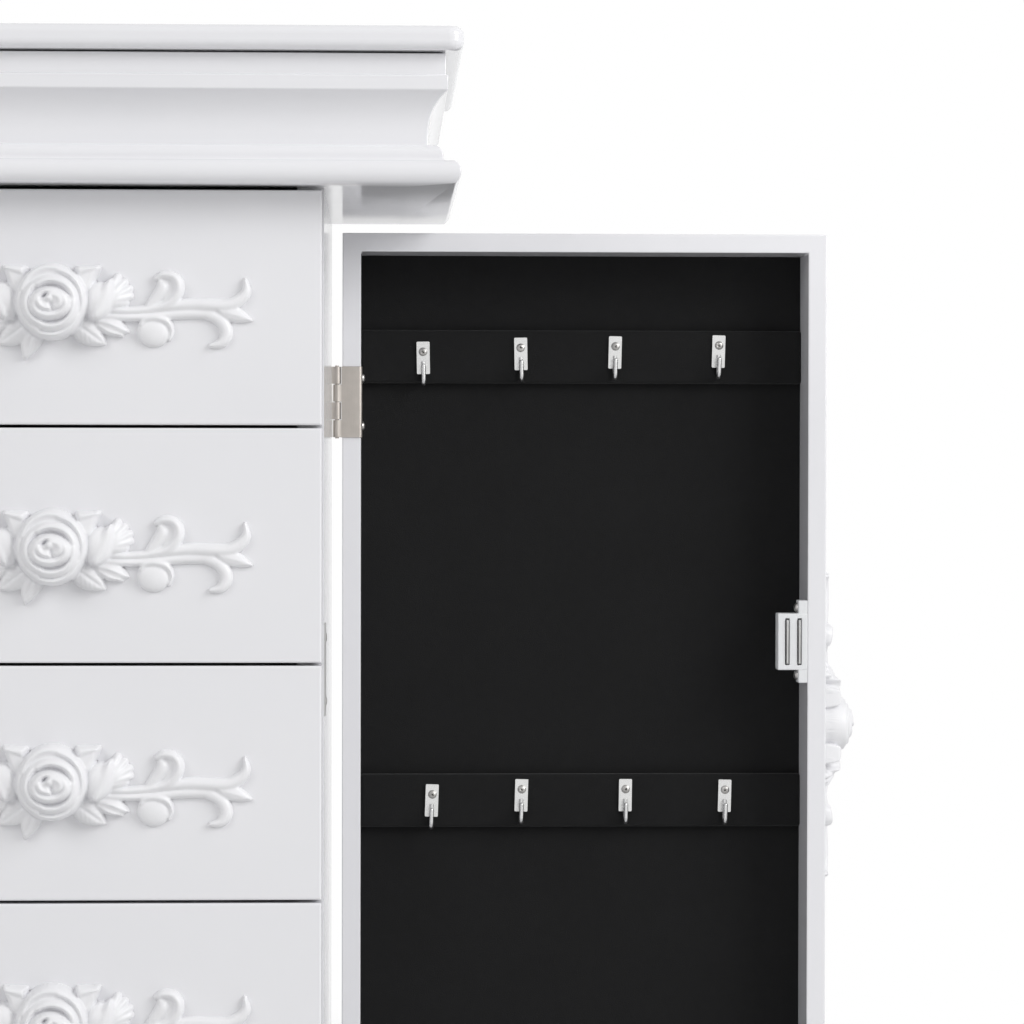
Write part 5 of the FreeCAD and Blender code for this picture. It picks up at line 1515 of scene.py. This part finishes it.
# %% The screw: a domed head of unit radius and height, a cross recess and a shank
SCREW_SIZES = {
    "Sides": 24, "Rings": 8, "Recess Reach": 0.50, "Recess Width": 0.26, "Recess Depth": 0.55,
    "Shank Radius": 0.42, "Shank Length": 4.3, "Seed": 17,
}
SHANK_SIDES = 12
screw_tree, given = grower("screw_tree", SCREW_SIZES)
cone = node(screw_tree, "GeometryNodeMeshCone", None, {
    "Vertices": given["Sides"], "Side Segments": given["Rings"], "Radius Top": 0.0, "Radius Bottom": 1.0,
    "Depth": 1.0})
point = node(screw_tree, "GeometryNodeInputPosition")
flat = node(screw_tree, "ShaderNodeVectorMath", {"operation": "MULTIPLY"}, {0: point, 1: (1, 1, 0)})
reach = node(screw_tree, "ShaderNodeVectorMath", {"operation": "LENGTH"}, {0: flat}, output="Value")
rise = reach.math("SQRT", reach.math("MAXIMUM", 1 - reach * reach, 0.0), 0.0)
dome_point = node(screw_tree, "ShaderNodeVectorMath", {"operation": "ADD"},
                  {0: flat, 1: vector(screw_tree, z=rise)})
head = node(screw_tree, "GeometryNodeSetPosition", None, {"Geometry": cone, "Position": dome_point})
arm = node(screw_tree, "GeometryNodeMeshCube", None, {"Size": vector(
    screw_tree, 2 * given["Recess Reach"], given["Recess Width"], 2 * given["Recess Depth"])})
for turn in (0.0, math.pi / 2):
    cut = screw_tree.nodes.new("GeometryNodeMeshBoolean")
    cut.operation = "DIFFERENCE"
    screw_tree.links.new(head.socket, cut.inputs["Mesh 1"])
    screw_tree.links.new(moved(screw_tree, arm, (0, 0, 1.0), (0, 0, turn)).socket, cut.inputs["Mesh 2"])
    head = Signal(screw_tree, cut.outputs["Mesh"])
shank = moved(screw_tree, node(screw_tree, "GeometryNodeMeshCylinder", None, {
    "Vertices": SHANK_SIDES, "Radius": given["Shank Radius"], "Depth": given["Shank Length"]}),
    vector(screw_tree, z=given["Shank Length"] * -0.5))
roll = node(screw_tree, "FunctionNodeRandomValue", {"data_type": "FLOAT"},
            {2: 0.0, 3: math.pi, 8: given["Seed"]}, output=1)
aim, size = (node(screw_tree, "GeometryNodeInputNamedAttribute", {"data_type": "FLOAT_VECTOR"},
                  {"Name": label}) for label in ("aim", "size"))
facing = node(screw_tree, "FunctionNodeAlignRotationToVector", {"axis": "Z"},
              {"Rotation": vector(screw_tree, z=roll), "Vector": aim})
set_out(screw_tree, given, together(screw_tree, head, shank), facing, size, "screw_steel")
print("screw tree", len(screw_tree.nodes), "nodes")


# %% Screws where the frame has them
HEAD_SHARE = 0.93


def screw_seats(name):
    """Seat, aim and (radius, radius, height) of every screw, read from the frame's own screws.

    Points farther than HEAD_SHARE of the widest from the axis belong to the head.
    """
    seats, aims, sizes = [], [], []
    for body in islands(name):
        low, high = body.min(0), body.max(0)
        middle, axis = (low + high) / 2, int(np.argmax(high - low))
        off_axis = np.delete(body - middle, axis, axis=1)
        reach = np.hypot(off_axis[:, 0], off_axis[:, 1])
        head = body[reach > HEAD_SHARE * reach.max(), axis]
        way = 1.0 if head.mean() > middle[axis] else -1.0
        seat, top = (head.min(), high[axis]) if way > 0 else (head.max(), low[axis])
        aim = np.zeros(3)
        aim[axis] = way
        middle[axis] = seat
        seats.append(middle)
        aims.append(aim)
        sizes.append((reach.max(), reach.max(), abs(top - seat)))
    return seats, aims, sizes


SCREWS = {"cabinet_screws": "cabinet", "lid_screws": LID_BODY,
          "right_door_screws": "right_door", "left_door_screws": "left_door"}
for name, body in SCREWS.items():
    seats, aims, sizes = screw_seats(name)
    mesh = grown("driven_" + name, screw_tree, SCREW_SIZES, seats, aim=aims, size=sizes)
    piece_of(mesh, body, [name])
    print(name, len(seats), "screws,", len(mesh.polygons), "faces")

# %% [markdown]
# ## The stage
# A pale floor and the soft even light of a photographer's tent. The world lights from all
# round, one soft box on the left of the camera and one on its right give the carvings
# their shadows, and white is what the camera, polished metal and glass see past the
# cabinet. Away from the cabinet the floor turns into that white, and near it it keeps the
# shadow.

# %% Floor
FLOOR_RADIUS, FLOOR_SIDES = 14.0, 96
FLOOR_NEAR, FLOOR_FAR = 0.9, 2.2


def white_to_eyes(tree, shader, lit):
    """Mixes a shader with plain white for rays of the camera, of gloss and of glass."""
    path = tree.nodes.new("ShaderNodeLightPath")
    seen = [Signal(tree, path.outputs[name]) for name in
            ("Is Camera Ray", "Is Glossy Ray", "Is Transmission Ray")]
    white = node(tree, shader, None, {"Color": grey(1.0), "Strength": 1.0})
    factor = 1 - (1 - seen[0]) * (1 - seen[1]) * (1 - seen[2])
    return lambda mask: node(tree, "ShaderNodeMixShader", None, {0: factor * mask, 1: lit, 2: white})


def floor_material():
    made = bpy.data.materials.new("pale_floor")
    made.use_nodes = True
    tree = made.node_tree
    tree.nodes.clear()
    place = place_on(tree)
    reach = node(tree, "ShaderNodeVectorMath", {"operation": "LENGTH"}, {0: place}, output="Value")
    far = node(tree, "ShaderNodeMapRange", {"interpolation_type": "SMOOTHSTEP"},
               {"Value": reach, "From Min": FLOOR_NEAR, "From Max": FLOOR_FAR})
    tone = noise(tree, place, 3.0)
    plain = node(tree, "ShaderNodeBsdfDiffuse", None,
                 {"Color": between(tree, tone, grey(0.80), grey(0.84))})
    end = tree.nodes.new("ShaderNodeOutputMaterial")
    tree.links.new(white_to_eyes(tree, "ShaderNodeEmission", plain)(far).socket, end.inputs["Surface"])
    return made


floor_mesh = bpy.data.meshes.new("floor")
floor_angles = [2 * math.pi * i / FLOOR_SIDES for i in range(FLOOR_SIDES)]
floor_mesh.from_pydata([(FLOOR_RADIUS * math.cos(a), FLOOR_RADIUS * math.sin(a), 0.0)
                        for a in floor_angles], [], [tuple(range(FLOOR_SIDES))])
floor_mesh.materials.append(floor_material())
floor = bpy.data.objects.new("floor", floor_mesh)
bpy.context.scene.collection.objects.link(floor)
floor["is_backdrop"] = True

# %% World and lamps
WORLD_LIGHT = 0.43
world = bpy.data.worlds.new("light_tent")
bpy.context.scene.world = world
world.use_nodes = True
tree = world.node_tree
tree.nodes.clear()
tent = node(tree, "ShaderNodeBackground", None, {"Color": grey(1.0), "Strength": WORLD_LIGHT})
end = tree.nodes.new("ShaderNodeOutputWorld")
tree.links.new(white_to_eyes(tree, "ShaderNodeBackground", tent)(1.0).socket, end.inputs["Surface"])


def lamp(name, place, aim, size, power):
    """A large square soft box that looks at a point."""
    data = bpy.data.lights.new(name, "AREA")
    data.shape = "SQUARE"
    data.size = size
    data.energy = power
    made = bpy.data.objects.new(name, data)
    made.matrix_world = (Matrix.Translation(place)
                         @ (Vector(aim) - Vector(place)).to_track_quat("-Z", "Y").to_matrix().to_4x4())
    bpy.context.scene.collection.objects.link(made)


LAMP_AIM = Vector((0.0, 0.0, 0.6))


def round_the_cabinet(azimuth, elevation, distance):
    """A point about the cabinet, azimuth from the front towards the right."""
    a, e = math.radians(azimuth), math.radians(elevation)
    return LAMP_AIM + distance * Vector((math.cos(e) * math.sin(a), -math.cos(e) * math.cos(a), math.sin(e)))


lamp("left_box", round_the_cabinet(-38, 32, 3.2), LAMP_AIM, 1.4, 24.0)
lamp("right_box", round_the_cabinet(58, 26, 3.0), LAMP_AIM, 1.6, 50.0)
bpy.context.scene.view_settings.view_transform = "Standard"

# %% The size of everything that is drawn, and the end
low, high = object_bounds()
print("visual box", [round(v, 4) for v in low], [round(v, 4) for v in high])
